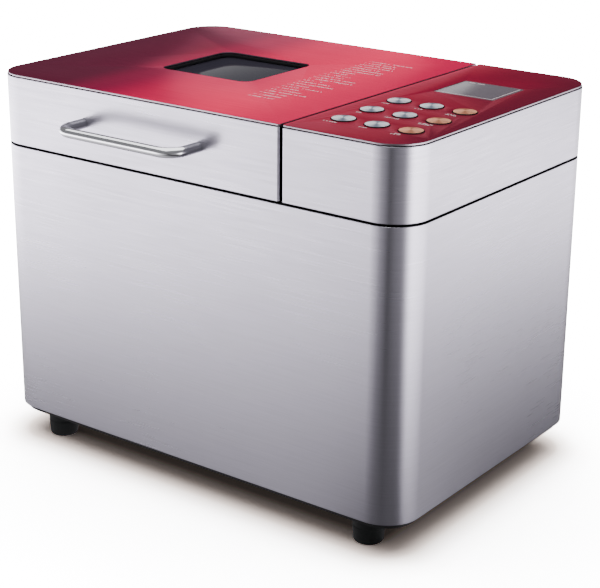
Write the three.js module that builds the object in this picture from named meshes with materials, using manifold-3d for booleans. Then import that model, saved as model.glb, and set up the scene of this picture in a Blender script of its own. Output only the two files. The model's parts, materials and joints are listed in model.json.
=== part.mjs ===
// A bread machine: steel casing, hinged lid, control housing, oven chamber, lift-out pan
// with a bail handle and a kneading paddle, and the motor and belt that turn the paddle.
// Millimetres, +Z up, +X to the right, +Y to the back. The origin is on the standing
// surface, below the middle of the overall box.
import * as THREE from "three";
import { mergeVertices } from "three/addons/utils/BufferGeometryUtils.js";
import Module from "manifold-3d";

const wasm = await Module();
wasm.setup();

// ---------------------------------------------------------------- driving dimensions
// Clearances
const GAP = 0.3; // between pieces that touch or rest on each other
const RUN = 0.3; // between a turning piece and what it turns in

// Casing
const WIDTH = 380;
const DEPTH = 258;
const CORNER_R = 27;
const SHEET = 1; // steel sheet of the casing, lid and control bands
const FOOT_RISE = 26; // from the standing surface to the casing's lower edge
const BODY_H = 218.2; // height of the lower casing
const SEAM = 1.6; // dark seam between the casing and the bands above it
const BAND_H = 52.4; // height of the lid band and the control band
const PLATE_T = 1.6; // coloured top plates
const PLATE_INSET = 0.6; // edge of a top plate behind the face of its band
const CONTROL_W = 100.9; // control housing, from its left face to the casing's right
const SPLIT_GAP = 2.6; // between lid and control housing
const MOULD_T = 2.5; // wall of the moulded frames
const RIM_H = 12; // rim of the frames inside their bands, from the top down

// Base and feet
const BASE_DROP = 4; // base below the casing's lower edge
const BASE_INSET = 3.5;
const BASE_T = 3;
const BASE_WALL_H = 18;
const LEDGE_T = 2; // ledge of the base inside the casing
const BASE_SLOTS = 5;
const BASE_SLOT_PITCH = 8;
const BASE_SLOT_L = 60;
const FOOT_R = 11;
const FOOT_TOP_R = 13;
const FOOT_EDGE = 2; // rounded lower edge of a foot
const FOOT_SIDE = 38; // centre of a foot from the side of the casing
const FOOT_FRONT = 22.5; // centre of a foot from the front or back

// Deck and oven chamber
const DECK_T = 2;
const DECK_SKIRT = 10;
const DECK_REVEAL = 1; // of the chamber's flange inside the deck opening
const WIRE_W = 44; // opening in the deck below the controls
const WIRE_D = 150;
const CHAMBER_SIDE = 40.25; // lid beyond the chamber at each side, on average
const CHAMBER_SHIFT = 2.75; // chamber left of the lid's middle
const CHAMBER_END = 45; // casing beyond the chamber at the front and back
const CHAMBER_Y = 1;
const CHAMBER_R = 34;
const CHAMBER_FLANGE = 7;
const CHASSIS_OVER = 8.2; // chassis plate above the pulleys
const CHASSIS_T = 2;
const CHASSIS_EDGE = 14; // edge of the chassis plate inside the casing
const POST_R = 5;
const POST_SIDE = 34;
const POST_FRONT = 32;
const LEG_IN_X = 28; // legs under the chamber, in from its sides
const LEG_IN_Y = 26;
const CHAMBER_LIFT = 10; // chamber above the chassis plate

// Bread pan
const PAN_SIDE = 19; // room at each side of the pan
const PAN_END = 20; // room before and behind the pan
const PAN_UNDER = 18; // pan above the underside of the chamber
const PAN_BELOW = 22.9; // rim of the pan below the top of the chamber
const PAN_R = 26;
const PAN_WALL = 1.6;
const PAN_TAPER = 4; // each side of the pan draws in by this much at the floor
const PAN_LIP = 3;
const BAIL_ROD = 5;
const BAIL_BEYOND = 12; // middle of the cross bar beyond the pan's side
const BAIL_ROOM = 4.5; // below the lid's dome when the bail stands up
const BAIL_GAP = 2; // between the pan's lip and a bail arm
const BAIL_BEND = 12;
const SKIRT_R = 24.5; // cast base of the pan
const SKIRT_H = 13;
const SKIRT_TOP_T = 6;
const LUG_REACH = 28.2;
const LUG_W = 10;
const LUG_H = 3;
const PADDLE_HUB_R = 9;
const PADDLE_REACH = 44;
const PADDLE_H = 34;
const PADDLE_T = 4;

// Drive
const SHAFT_R = 5;
const SPINDLE_R = 4;
const SPINDLE_RISE = 22; // of the spindle above the underside of the pan
const DOG_R = 12; // driving disc at the top of the drive shaft
const DOG_T = 2.5;
const PEG_R = 2.2;
const WING_UNDER = 12; // underside of the spindle's wing below the pan
const WING_H = 4.5;
const WING_T = 4;
const WING_L = 20;
const BEARING_R = 9;
const BELT_LIFT = 5; // belt above the floor of the base
const BELT_H = 8;
const BELT_T = 3;
const BELT_GAP = 0.4; // between belt and groove, which are faceted
const BIG_PULLEY_R = 44; // groove of the large pulley
const SMALL_PULLEY_R = 5.5; // groove of the motor pulley
const FLANGE_T = 1.5;
const HUB_R = 12; // hub of the large pulley
const RIM_W = 6; // from the large pulley's web to its groove
const MOTOR_SIDE = 72; // motor's axis from the right of the casing
const MOTOR_R = 38;
const MOTOR_H = 58;
const MOTOR_SHAFT_R = 3.5;
const FAN_R = 32;
const FAN_H = 7;
const FAN_BLADES = 6;
const FAN_PITCH = 0.5;
const STACK_W = 72; // laminations
const STACK_H = 24;
const BRACKET_H = 6.3;
const CAPACITOR_SIDE = 32;
const CAPACITOR_BACK = 47;
const CAPACITOR_R = 15;
const CAPACITOR_H = 50;
const POWER_SIDE = 18;
const POWER_FRONT = 33;
const POWER_D = 66;
const POWER_H = 84;

// Heating element and sensor
const ELEMENT_R = 3.5;
const ELEMENT_LIFT = 16; // above the underside of the chamber
const ELEMENT_INSET = 9; // middle of the tube inside the chamber wall
const ELEMENT_LEADS = 24; // between the two leads
const LEAD_LENGTH = 14; // of a lead outside the chamber wall
const ELEMENT_BEND = 24;
const LEAD_BEND = 8;
const SENSOR_R = 2.5;
const SENSOR_Y = 40;
const SENSOR_LIFT = 70;
const SENSOR_REACH = 9;

// Lid
const WINDOW_W = 87;
const WINDOW_D = 84;
const WINDOW_R = 9;
const GLASS_T = 3;
const GLASS_LAP = 4; // pane beyond its opening on each side
const DOME_MARGIN = 3; // the inner cover's dome inside the chamber opening
const DOME_UNDER = 12.7; // roof of the dome below the moulded frame
const COVER_T = 1.5;
const SEAL_W = 5;
const SEAL_GROW = 7; // seal outside the chamber opening
const HANDLE_SHIFT = 12.15; // handle right of the lid's middle
const HANDLE_SPAN = 111;
const HANDLE_ROD = 7.6;
const HANDLE_REACH = 28; // from the lid's face to the middle of the bar
const HANDLE_BEND = 13;
const HANDLE_LIFT = 27.2; // above the lower edge of the lid
const SCREW_R = 2;
const SCREW_DEPTH = 8;

// Hinges
const HINGE_OFFSET = 5; // pin axis behind the casing
const HINGE_SPREAD = 156; // between the middles of the two hinges
const KNUCKLE_R = 4.5;
const KNUCKLE_W = 16; // the lid's knuckle, between the body's two
const KNUCKLE_CLEAR = 0.8;
const PIN_R = 1.8;
const LEAF_T = 2;
const LEAF_W = 46;
const LEAF_H = 26;

// Control housing
const BUTTON_R = 8.75;
const BUTTON_CLEAR = 0.6;
const BUTTON_RISE = 1.2; // top of a button above the top plate
const BUTTON_TRAVEL = 1;
const BUTTON_SIDE = 51.1; // middle of the keys from the right of the casing
const BUTTON_FRONT = 74.1; // middle of the keys from the front of the casing
const BUTTON_PITCH_X = 27.4;
const BUTTON_PITCH_Y = 34.2;
const BUTTON_LAP = 1.85; // flange beyond the cap
const BUTTON_STEM_R = 3;
const BUTTON_FLANGE_T = 1.2;
const BUTTON_DOME = 0.9;
const LENS_SIDE = 52.1;
const LENS_FRONT = 174.6;
const LENS_W = 49.8;
const LENS_D = 45.8;
const LENS_R = 1;
const LENS_LAP = 4; // frame under the edge of the lens
const BOARD_T = 1.6;
const BOARD_W = 78;
const BOARD_D = 196;
const BOARD_FRONT = 117;
const BOARD_UNDER = 14.7; // underside of the board below the frame's top wall
const SWITCH_H = 3;

// Rear
const VENT_COUNT = 9;
const VENT_W = 3;
const VENT_H = 34;
const VENT_PITCH = 7;
const VENT_IN = 35; // middle of the vents from the rounded corner
const VENT_LIFT = 54;
const INLET_IN = 13; // cord inlet from the rounded corner
const INLET_OVER = 10; // cord inlet above the chassis plate
const INLET_R = 7;

// Facets
const CORNER_STEPS = 6; // along a quarter of a corner
const ROUND = 16; // round a turned piece
const BEND_STEPS = 4; // along a bend of a rod
const POST_SIDES = 8;

// -------------------------------------------------------------------- worked-out places
const BACK = DEPTH / 2;
const FRONT = -DEPTH / 2;
const RIGHT = WIDTH / 2;
const LEFT = -WIDTH / 2;
const FACE = SHEET + GAP; // frames sit this far inside the casing's faces
const CONTROL_LEFT = RIGHT - CONTROL_W;
const LID_RIGHT = CONTROL_LEFT - SPLIT_GAP;
const LID_X = (LEFT + LID_RIGHT) / 2;
const CHAMBER_X = LID_X - CHAMBER_SHIFT;
const CHAMBER_W = LID_RIGHT - LEFT - 2 * CHAMBER_SIDE;
const CHAMBER_D = DEPTH - 2 * CHAMBER_END;
const PAN_W = CHAMBER_W - 2 * PAN_SIDE;
const PAN_D = CHAMBER_D - 2 * PAN_END;
const MOTOR_X = RIGHT - MOTOR_SIDE;
const BUTTON_X = RIGHT - BUTTON_SIDE;
const BUTTON_Y = FRONT + BUTTON_FRONT;
const LENS_X = RIGHT - LENS_SIDE;
const LENS_Y = FRONT + LENS_FRONT;
const BOARD_Y = FRONT + BOARD_FRONT;
const PIN_Y = BACK + HINGE_OFFSET;

const BASE_Z = FOOT_RISE - BASE_DROP;
const FLOOR_Z = BASE_Z + BASE_T;
const BELT_Z = FLOOR_Z + BELT_LIFT;
const PULLEY_Z = BELT_Z - GAP - FLANGE_T;
const PULLEY_TOP = BELT_Z + BELT_H + GAP + FLANGE_T;
const CHASSIS_Z = PULLEY_TOP + CHASSIS_OVER;
const CHASSIS_TOP = CHASSIS_Z + CHASSIS_T;
const CHAMBER_FLOOR = CHASSIS_TOP + CHAMBER_LIFT;
const PAN_FLOOR = CHAMBER_FLOOR + PAN_UNDER;
const SKIRT_ROOF = PAN_FLOOR - SKIRT_TOP_T;
const WING_Z = PAN_FLOOR - WING_UNDER;
const SPINDLE_TOP = PAN_FLOOR + SPINDLE_RISE;
const ELEMENT_Z = CHAMBER_FLOOR + ELEMENT_LIFT;
const SENSOR_Z = CHAMBER_FLOOR + SENSOR_LIFT;
const BODY_TOP = FOOT_RISE + BODY_H;
const DECK_Z = BODY_TOP - DECK_T;
const CHAMBER_TOP = DECK_Z - GAP;
const PAN_TOP = CHAMBER_TOP - PAN_BELOW;
const PIN_Z = BODY_TOP + SEAM / 2;
const BAND_Z = BODY_TOP + SEAM;
const BAND_TOP = BAND_Z + BAND_H;
const PLATE_Z = BAND_TOP + GAP;
const PLATE_TOP = PLATE_Z + PLATE_T;
const FRAME_UNDER = BAND_TOP - MOULD_T;
const COVER_Z = BAND_Z + SHEET;
const DOME_ROOF = FRAME_UNDER - DOME_UNDER;
const HANDLE_Z = BAND_Z + HANDLE_LIFT;
const BAIL_REACH = PAN_D / 2 + BAIL_BEYOND;
const BAIL_PIVOT_Z = DOME_ROOF - BAIL_ROOM - BAIL_ROD / 2 - BAIL_REACH;
const BOARD_Z = FRAME_UNDER - BOARD_UNDER;
const BOARD_TOP = BOARD_Z + BOARD_T;
const HANDLE_OUT = HANDLE_REACH + HANDLE_ROD / 2;
const HINGE_OUT = HINGE_OFFSET + KNUCKLE_R;
const MIDDLE_Y = (HANDLE_OUT - HINGE_OUT) / 2; // casing centre behind the origin

// -------------------------------------------------------------------------- materials
const finish = (color, roughness, metalness) => () =>
  new THREE.MeshStandardMaterial({ color, roughness, metalness });
const brushedSteel = finish(0xc9c8cf, 0.35, 1);
const bareSteel = finish(0xa9abad, 0.45, 1);
const polishedSteel = finish(0xdadadd, 0.12, 1);
const redPlate = finish(0xb02a42, 0.3, 0.6);
const silverCap = finish(0xd0d2d6, 0.25, 1);
const copperCap = finish(0xd99a78, 0.25, 1);
const blackPlastic = finish(0x17171a, 0.55, 0);
const rubber = finish(0x101012, 0.8, 0);
const smokedGlass = finish(0x3a3d46, 0.08, 0);
const displayGrey = finish(0x827d82, 0.4, 0);
const coatedPan = finish(0x3c3d40, 0.5, 0.4);
const castAluminium = finish(0x9b9ca0, 0.55, 1);
const greenBoard = finish(0x1f5a3a, 0.6, 0);
const whiteMould = finish(0xe6e4dd, 0.6, 0);
const silicone = finish(0x8a8b8e, 0.75, 0);
const darkSteel = finish(0x55565a, 0.5, 1);

// ------------------------------------------------------------------------ solid tools
function solid(geometry) {
  const bare = geometry.index ? geometry.toNonIndexed() : geometry.clone();
  const only = new THREE.BufferGeometry();
  only.setAttribute("position", bare.getAttribute("position"));
  const merged = mergeVertices(only, 1e-4);
  return new wasm.Manifold(
    new wasm.Mesh({
      numProp: 3,
      vertProperties: new Float32Array(merged.attributes.position.array),
      triVerts: new Uint32Array(merged.index.array),
    }),
  );
}

function join(first, ...others) {
  return others.reduce((whole, piece) => whole.add(piece), first);
}

function cut(first, ...others) {
  return others.reduce((whole, piece) => whole.subtract(piece), first);
}

function geometryOf(piece) {
  const mesh = piece.getMesh();
  const geometry = new THREE.BufferGeometry();
  geometry.setAttribute("position", new THREE.BufferAttribute(mesh.vertProperties, 3));
  geometry.setIndex(new THREE.BufferAttribute(mesh.triVerts, 1));
  return geometry;
}

function part(parent, name, piece, material) {
  const mesh = new THREE.Mesh(geometryOf(piece), material());
  mesh.name = name;
  parent.add(mesh);
  return mesh;
}

// A rectangle with round corners, as a path of arcs. x, y: its middle.
function roundRect(Kind, w, d, r, x = 0, y = 0) {
  const path = new Kind();
  const corners = [
    [x + w / 2 - r, y - d / 2 + r, -0.5],
    [x + w / 2 - r, y + d / 2 - r, 0],
    [x - w / 2 + r, y + d / 2 - r, 0.5],
    [x - w / 2 + r, y - d / 2 + r, 1],
  ];
  for (const [cx, cy, turn] of corners) {
    path.absarc(cx, cy, r, turn * Math.PI, (turn + 0.5) * Math.PI, false);
  }
  path.closePath();
  return path;
}

// three.js splits each arc of a path into twice its curveSegments.
function extruded(shape, z, height, arcSteps = CORNER_STEPS) {
  const geometry = new THREE.ExtrudeGeometry(shape, {
    depth: height,
    bevelEnabled: false,
    curveSegments: arcSteps / 2,
  });
  return geometry.translate(0, 0, z);
}

function slab(w, d, r, x, y, z, height) {
  return solid(extruded(roundRect(THREE.Shape, w, d, r, x, y), z, height));
}

// A slab with a hole through it; both are [w, d, r, x, y].
function ring(outer, inner, z, height) {
  const shape = roundRect(THREE.Shape, ...outer);
  shape.holes.push(roundRect(THREE.Path, ...inner));
  return solid(extruded(shape, z, height));
}

// A box from its low and high corners.
function box(low, high) {
  const size = high.map((v, i) => v - low[i]);
  const geometry = new THREE.BoxGeometry(...size);
  geometry.translate(...low.map((v, i) => v + size[i] / 2));
  return solid(geometry);
}

// A cylinder standing on z.
function rod(x, y, z, r, height, sides = ROUND) {
  const geometry = new THREE.CylinderGeometry(r, r, height, sides);
  geometry.rotateX(Math.PI / 2);
  return solid(geometry.translate(x, y, z + height / 2));
}

// A cylinder lying along X from x0 to x1.
function rodX(x0, x1, y, z, r, sides = ROUND) {
  const geometry = new THREE.CylinderGeometry(r, r, x1 - x0, sides);
  geometry.rotateZ(-Math.PI / 2);
  return solid(geometry.translate((x0 + x1) / 2, y, z));
}

// A cylinder lying along Y from y0 to y1.
function rodY(x, y0, y1, z, r, sides = ROUND) {
  const geometry = new THREE.CylinderGeometry(r, r, y1 - y0, sides);
  return solid(geometry.translate(x, (y0 + y1) / 2, z));
}

// A turned piece about a vertical axis through x, y; profile is a list of [r, z].
function turned(x, y, profile, sides = ROUND) {
  const points = profile.map(([r, z]) => new THREE.Vector2(r, z));
  const geometry = new THREE.LatheGeometry(points, sides);
  geometry.rotateX(Math.PI / 2);
  return solid(geometry.translate(x, y, 0));
}

// A path along straights joined by bends, whose stations crowd into the bends.
class RodPath extends THREE.Curve {
  constructor(points, radii) {
    super();
    this.path = new THREE.CurvePath();
    this.stations = [0];
    let from = points[0];
    radii.forEach((radius, i) => {
      const corner = points[i + 1];
      const into = points[i].clone().sub(corner).normalize();
      const away = points[i + 2].clone().sub(corner).normalize();
      const half = into.angleTo(away) / 2;
      const reach = radius / Math.tan(half);
      const pull = reach - (4 / 3) * radius * Math.tan((Math.PI / 2 - half) / 2);
      const along = (way, length) => corner.clone().addScaledVector(way, length);
      this.addLine(from, along(into, reach));
      this.path.add(
        new THREE.CubicBezierCurve3(
          along(into, reach),
          along(into, pull),
          along(away, pull),
          along(away, reach),
        ),
      );
      this.addStations(BEND_STEPS);
      from = along(away, reach);
    });
    this.addLine(from, points[points.length - 1]);
    this.ends = this.path.getCurveLengths();
  }

  addLine(start, end) {
    this.path.add(new THREE.LineCurve3(start, end));
    this.addStations(1);
  }

  // Stations are lengths along the path up to the end of the curve added last.
  addStations(count) {
    this.path.updateArcLengths();
    const start = this.stations[this.stations.length - 1];
    const step = (this.path.getLength() - start) / count;
    for (let i = 1; i <= count; i += 1) this.stations.push(start + i * step);
  }

  getPoint(t) {
    const last = this.stations.length - 1;
    const i = Math.min(Math.floor(t * last), last - 1);
    const length = THREE.MathUtils.lerp(
      this.stations[i],
      this.stations[i + 1],
      t * last - i,
    );
    return this.pointAlong(length);
  }

  pointAlong(length) {
    const found = this.ends.findIndex((end) => end >= length);
    const i = found < 0 ? this.ends.length - 1 : found;
    const start = i > 0 ? this.ends[i - 1] : 0;
    const u = (length - start) / (this.ends[i] - start);
    return this.path.curves[i].getPointAt(THREE.MathUtils.clamp(u, 0, 1));
  }

  getUtoTmapping(u) {
    return u;
  }
}

function bentRod(points, radii, r, sides) {
  const section = new THREE.Shape();
  section.absarc(0, 0, r, 0, 2 * Math.PI, false);
  const path = new RodPath(
    points.map((p) => new THREE.Vector3(...p)),
    radii,
  );
  const geometry = new THREE.ExtrudeGeometry(section, {
    steps: path.stations.length - 1,
    curveSegments: sides / 2,
    extrudePath: path,
  });
  return solid(geometry);
}

// ------------------------------------------------------------------------ casing
const machine = new THREE.Group();
machine.position.y = MIDDLE_Y;

// The casing's outline drawn in by a distance, as [w, d, r].
const outline = (inset) => [WIDTH - 2 * inset, DEPTH - 2 * inset, CORNER_R - inset];

// The chamber's inside outline grown by a distance, as [w, d, r, x, y].
const mouth = (grow) => [
  CHAMBER_W + 2 * grow,
  CHAMBER_D + 2 * grow,
  CHAMBER_R + grow,
  CHAMBER_X,
  CHAMBER_Y,
];

// The four points at these distances from the sides and from the front and back.
function fourPoints(fromSide, fromFront) {
  const x = WIDTH / 2 - fromSide;
  const y = DEPTH / 2 - fromFront;
  return [
    ["front_left", -x, -y],
    ["front_right", x, -y],
    ["rear_left", -x, y],
    ["rear_right", x, y],
  ];
}

const INLET_X = RIGHT - CORNER_R - INLET_IN;
const INLET_Z = CHASSIS_Z + INLET_OVER;

function bodyShell() {
  const shell = ring(outline(0), outline(SHEET), FOOT_RISE, BODY_H);
  const cuts = [rodY(INLET_X, BACK - 2 * SHEET, BACK + SHEET, INLET_Z, INLET_R + GAP)];
  for (let i = 0; i < VENT_COUNT; i += 1) {
    const x = RIGHT - CORNER_R - VENT_IN + (i - (VENT_COUNT - 1) / 2) * VENT_PITCH;
    const low = [x - VENT_W / 2, BACK - 2 * SHEET, FOOT_RISE + VENT_LIFT];
    cuts.push(box(low, [x + VENT_W / 2, BACK + SHEET, low[2] + VENT_H]));
  }
  return cut(shell, ...cuts);
}

function basePlate() {
  const floor = slab(...outline(BASE_INSET), 0, 0, BASE_Z, BASE_T);
  const wall = ring(outline(BASE_INSET), outline(BASE_INSET + MOULD_T), BASE_Z, BASE_T + BASE_WALL_H);
  const ledge = ring(outline(FACE), outline(BASE_INSET + 1), FOOT_RISE + GAP, LEDGE_T);
  const posts = fourPoints(POST_SIDE, POST_FRONT).map(([, x, y]) =>
    rod(x, y, BASE_Z + 1, POST_R, CHASSIS_Z - GAP - BASE_Z - 1, POST_SIDES),
  );
  const slots = [];
  for (let i = 0; i < BASE_SLOTS; i += 1) {
    const x = MOTOR_X + (i - (BASE_SLOTS - 1) / 2) * BASE_SLOT_PITCH;
    const low = [x - VENT_W / 2, -BASE_SLOT_L / 2, BASE_Z - 1];
    slots.push(box(low, [x + VENT_W / 2, BASE_SLOT_L / 2, FLOOR_Z + 1]));
  }
  return cut(join(floor, wall, ledge, ...posts), ...slots);
}

function foot(x, y) {
  return turned(x, y, [
    [0, 0],
    [FOOT_R - FOOT_EDGE, 0],
    [FOOT_R, FOOT_EDGE],
    [FOOT_TOP_R, BASE_Z - GAP],
    [0, BASE_Z - GAP],
  ]);
}

function topDeck() {
  const plate = ring(outline(FACE), mouth(DECK_REVEAL), DECK_Z, DECK_T);
  const skirt = ring(outline(FACE), outline(FACE + DECK_T), BODY_TOP - DECK_SKIRT, DECK_SKIRT);
  const wiring = slab(WIRE_W, WIRE_D, WIRE_W / 4, BUTTON_X, 0, DECK_Z - 1, DECK_T + 2);
  return cut(join(plate, skirt), wiring);
}

function chassisPlate() {
  const plate = slab(...outline(CHASSIS_EDGE), 0, 0, CHASSIS_Z, CHASSIS_T);
  const legs = [-1, 1].flatMap((sx) =>
    [-1, 1].map((sy) => {
      const x = CHAMBER_X + sx * (CHAMBER_W / 2 - LEG_IN_X);
      const y = CHAMBER_Y + sy * (CHAMBER_D / 2 - LEG_IN_Y);
      return rod(x, y, CHASSIS_Z + 1, POST_R, CHAMBER_FLOOR - GAP - CHASSIS_Z - 1, POST_SIDES);
    }),
  );
  const bearingHole = rod(CHAMBER_X, CHAMBER_Y, CHASSIS_Z - 1, BEARING_R + GAP, CHASSIS_T + 2);
  const shaftHole = rod(MOTOR_X, CHAMBER_Y, CHASSIS_Z - 1, MOTOR_SHAFT_R + 4, CHASSIS_T + 2);
  return cut(join(plate, ...legs), bearingHole, shaftHole);
}

const RIGHT_WALL = CHAMBER_X + CHAMBER_W / 2; // inside of the chamber's right wall

function ovenChamber() {
  const walls = ring(mouth(SHEET), mouth(0), CHAMBER_FLOOR, CHAMBER_TOP - CHAMBER_FLOOR);
  const [w, d, r, x, y] = mouth(SHEET);
  const floor = slab(w, d, r, x, y, CHAMBER_FLOOR, SHEET);
  const flange = ring(mouth(CHAMBER_FLANGE), mouth(0), CHAMBER_TOP - SHEET, SHEET);
  const shaftHole = rod(CHAMBER_X, CHAMBER_Y, CHAMBER_FLOOR - 1, SHAFT_R + 2, SHEET + 2);
  const wallHole = (dy, z, r0) =>
    rodX(RIGHT_WALL - 2, RIGHT_WALL + SHEET + 2, CHAMBER_Y + dy, z, r0, 12);
  return cut(
    join(walls, floor, flange),
    shaftHole,
    wallHole(-ELEMENT_LEADS / 2, ELEMENT_Z, ELEMENT_R + 1),
    wallHole(ELEMENT_LEADS / 2, ELEMENT_Z, ELEMENT_R + 1),
    wallHole(SENSOR_Y, SENSOR_Z, SENSOR_R + GAP),
  );
}

function heatingElement() {
  const x = CHAMBER_W / 2 - ELEMENT_INSET;
  const y = CHAMBER_D / 2 - ELEMENT_INSET;
  const end = CHAMBER_W / 2 + SHEET + LEAD_LENGTH;
  const lead = ELEMENT_LEADS / 2;
  const points = [
    [end, lead],
    [x, lead],
    [x, y],
    [-x, y],
    [-x, -y],
    [x, -y],
    [x, -lead],
    [end, -lead],
  ].map(([px, py]) => [CHAMBER_X + px, CHAMBER_Y + py, ELEMENT_Z]);
  const bends = [LEAD_BEND, ELEMENT_BEND, ELEMENT_BEND, ELEMENT_BEND, ELEMENT_BEND, LEAD_BEND];
  return bentRod(points, bends, ELEMENT_R, 8);
}

function temperatureSensor() {
  const y = CHAMBER_Y + SENSOR_Y;
  const probe = rodX(RIGHT_WALL - SENSOR_REACH, RIGHT_WALL + 8, y, SENSOR_Z, SENSOR_R, 12);
  const low = RIGHT_WALL + SHEET + GAP;
  return join(probe, rodX(low, low + 3, y, SENSOR_Z, 2 * SENSOR_R, 12));
}

function cordInlet() {
  const outside = rodY(INLET_X, BACK + GAP, BACK + GAP + 3, INLET_Z, INLET_R + 3);
  const through = rodY(INLET_X, BACK - 8, BACK + GAP + 1, INLET_Z, INLET_R);
  const inside = rodY(INLET_X, BACK - 8, BACK - SHEET - GAP, INLET_Z, INLET_R + 3);
  const opening = rodY(INLET_X, BACK - 9, BACK + 5, INLET_Z, INLET_R / 2);
  return cut(join(outside, through, inside), opening);
}

part(machine, "body_shell", bodyShell(), brushedSteel);
part(machine, "base_plate", basePlate(), blackPlastic);
for (const [place, x, y] of fourPoints(FOOT_SIDE, FOOT_FRONT)) {
  part(machine, "foot_" + place, foot(x, y), rubber);
}
part(machine, "top_deck", topDeck(), blackPlastic);
part(machine, "chassis_plate", chassisPlate(), bareSteel);
part(machine, "oven_chamber", ovenChamber(), bareSteel);
part(machine, "heating_element", heatingElement(), darkSteel);
part(machine, "temperature_sensor", temperatureSensor(), bareSteel);
part(machine, "cord_inlet", cordInlet(), blackPlastic);

// ------------------------------------------------------------------------ hinges
// One leaf with its knuckles; side is 1 above the pin for the lid, -1 below for the body.
function hingeLeaf(x, side, knuckles) {
  const [near, far] = [KNUCKLE_R + KNUCKLE_CLEAR, LEAF_H];
  const span = (a, b) => [Math.min(side * a, side * b), Math.max(side * a, side * b)];
  const block = (x0, x1, y0, y1, z0, z1) => {
    const [low, high] = span(z0, z1);
    return box([x + x0, y0, PIN_Z + low], [x + x1, y1, PIN_Z + high]);
  };
  const inner = BACK + GAP;
  const plate = block(-LEAF_W / 2, LEAF_W / 2, inner, inner + LEAF_T, near, far);
  const barrels = knuckles.flatMap(([x0, x1]) => [
    rodX(x + x0, x + x1, PIN_Y, PIN_Z, KNUCKLE_R, 16),
    block(x0, x1, inner, PIN_Y, 0, near + 1),
  ]);
  const bore = rodX(x - LEAF_W, x + LEAF_W, PIN_Y, PIN_Z, PIN_R + RUN, 12);
  return cut(join(plate, ...barrels), bore);
}

const MIDDLE_KNUCKLE = [[-KNUCKLE_W / 2, KNUCKLE_W / 2]];
const OUTER_KNUCKLES = [
  [-LEAF_W / 2, -KNUCKLE_W / 2 - RUN],
  [KNUCKLE_W / 2 + RUN, LEAF_W / 2],
];

// ------------------------------------------------------------------------ lid
const lid = new THREE.Group();
machine.add(lid);

const everything = 2 * WIDTH;
const between = (lowX, highX) => box([lowX, -everything, -1], [highX, everything, everything]);
const lidSide = (piece, limit = LID_RIGHT) => piece.intersect(between(-everything, limit));
const controlSide = (piece) => piece.intersect(between(CONTROL_LEFT, everything));

function windowSlab(grow, z, height) {
  return slab(
    WINDOW_W + 2 * grow,
    WINDOW_D + 2 * grow,
    WINDOW_R + grow,
    CHAMBER_X,
    CHAMBER_Y,
    z,
    height,
  );
}

// A moulded frame's top and rim for either side, before the end wall at the split.
function frameTop() {
  const top = slab(...outline(FACE), 0, 0, FRAME_UNDER, MOULD_T);
  const rim = ring(outline(FACE), outline(FACE + MOULD_T), BAND_TOP - RIM_H, RIM_H);
  return join(top, rim);
}

function endWall(lowX, z) {
  const y = BACK - FACE;
  return box([lowX, -y, z], [lowX + MOULD_T, y, BAND_TOP]);
}

const handleEnds = [-0.5, 0.5].map((side) => LID_X + HANDLE_SHIFT + side * HANDLE_SPAN);

function lidShell() {
  const holes = handleEnds.map((x) =>
    rodY(x, FRONT - 1, FRONT + SHEET + 1, HANDLE_Z, SCREW_R + GAP, 12),
  );
  return cut(lidSide(ring(outline(0), outline(SHEET), BAND_Z, BAND_H)), ...holes);
}

function lidFrame() {
  const frame = join(lidSide(frameTop()), endWall(LID_RIGHT - MOULD_T, BAND_Z));
  return cut(frame, windowSlab(0, FRAME_UNDER - 1, MOULD_T + 2));
}

function lidTopPlate() {
  const plate = lidSide(slab(...outline(PLATE_INSET), 0, 0, PLATE_Z, PLATE_T));
  return cut(plate, windowSlab(0, PLATE_Z - 1, PLATE_T + 2));
}

function lidCover() {
  const inside = outline(FACE);
  const rim = lidSide(ring(inside, mouth(-DOME_MARGIN), COVER_Z, COVER_T), LID_RIGHT - MOULD_T - GAP);
  const height = DOME_ROOF + COVER_T - COVER_Z;
  const walls = ring(mouth(COVER_T - DOME_MARGIN), mouth(-DOME_MARGIN), COVER_Z, height);
  const roof = slab(...mouth(COVER_T - DOME_MARGIN), DOME_ROOF, COVER_T);
  return cut(join(rim, walls, roof), windowSlab(0, DOME_ROOF - 1, COVER_T + 2));
}

function lidHandle() {
  const rootY = FRONT - GAP;
  const barY = FRONT - HANDLE_REACH;
  const points = [
    [handleEnds[0], rootY, HANDLE_Z],
    [handleEnds[0], barY, HANDLE_Z],
    [handleEnds[1], barY, HANDLE_Z],
    [handleEnds[1], rootY, HANDLE_Z],
  ];
  const holes = handleEnds.map((x) =>
    rodY(x, rootY - SCREW_DEPTH, rootY + 1, HANDLE_Z, SCREW_R + GAP, 12),
  );
  return cut(bentRod(points, [HANDLE_BEND, HANDLE_BEND], HANDLE_ROD / 2, 10), ...holes);
}

function handleScrew(x) {
  const shank = rodY(x, FRONT - SCREW_DEPTH, FRONT + SHEET + 1, HANDLE_Z, SCREW_R, 10);
  const under = FRONT + SHEET + GAP;
  return join(shank, rodY(x, under, under + SCREW_R, HANDLE_Z, 2 * SCREW_R, 12));
}

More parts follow.
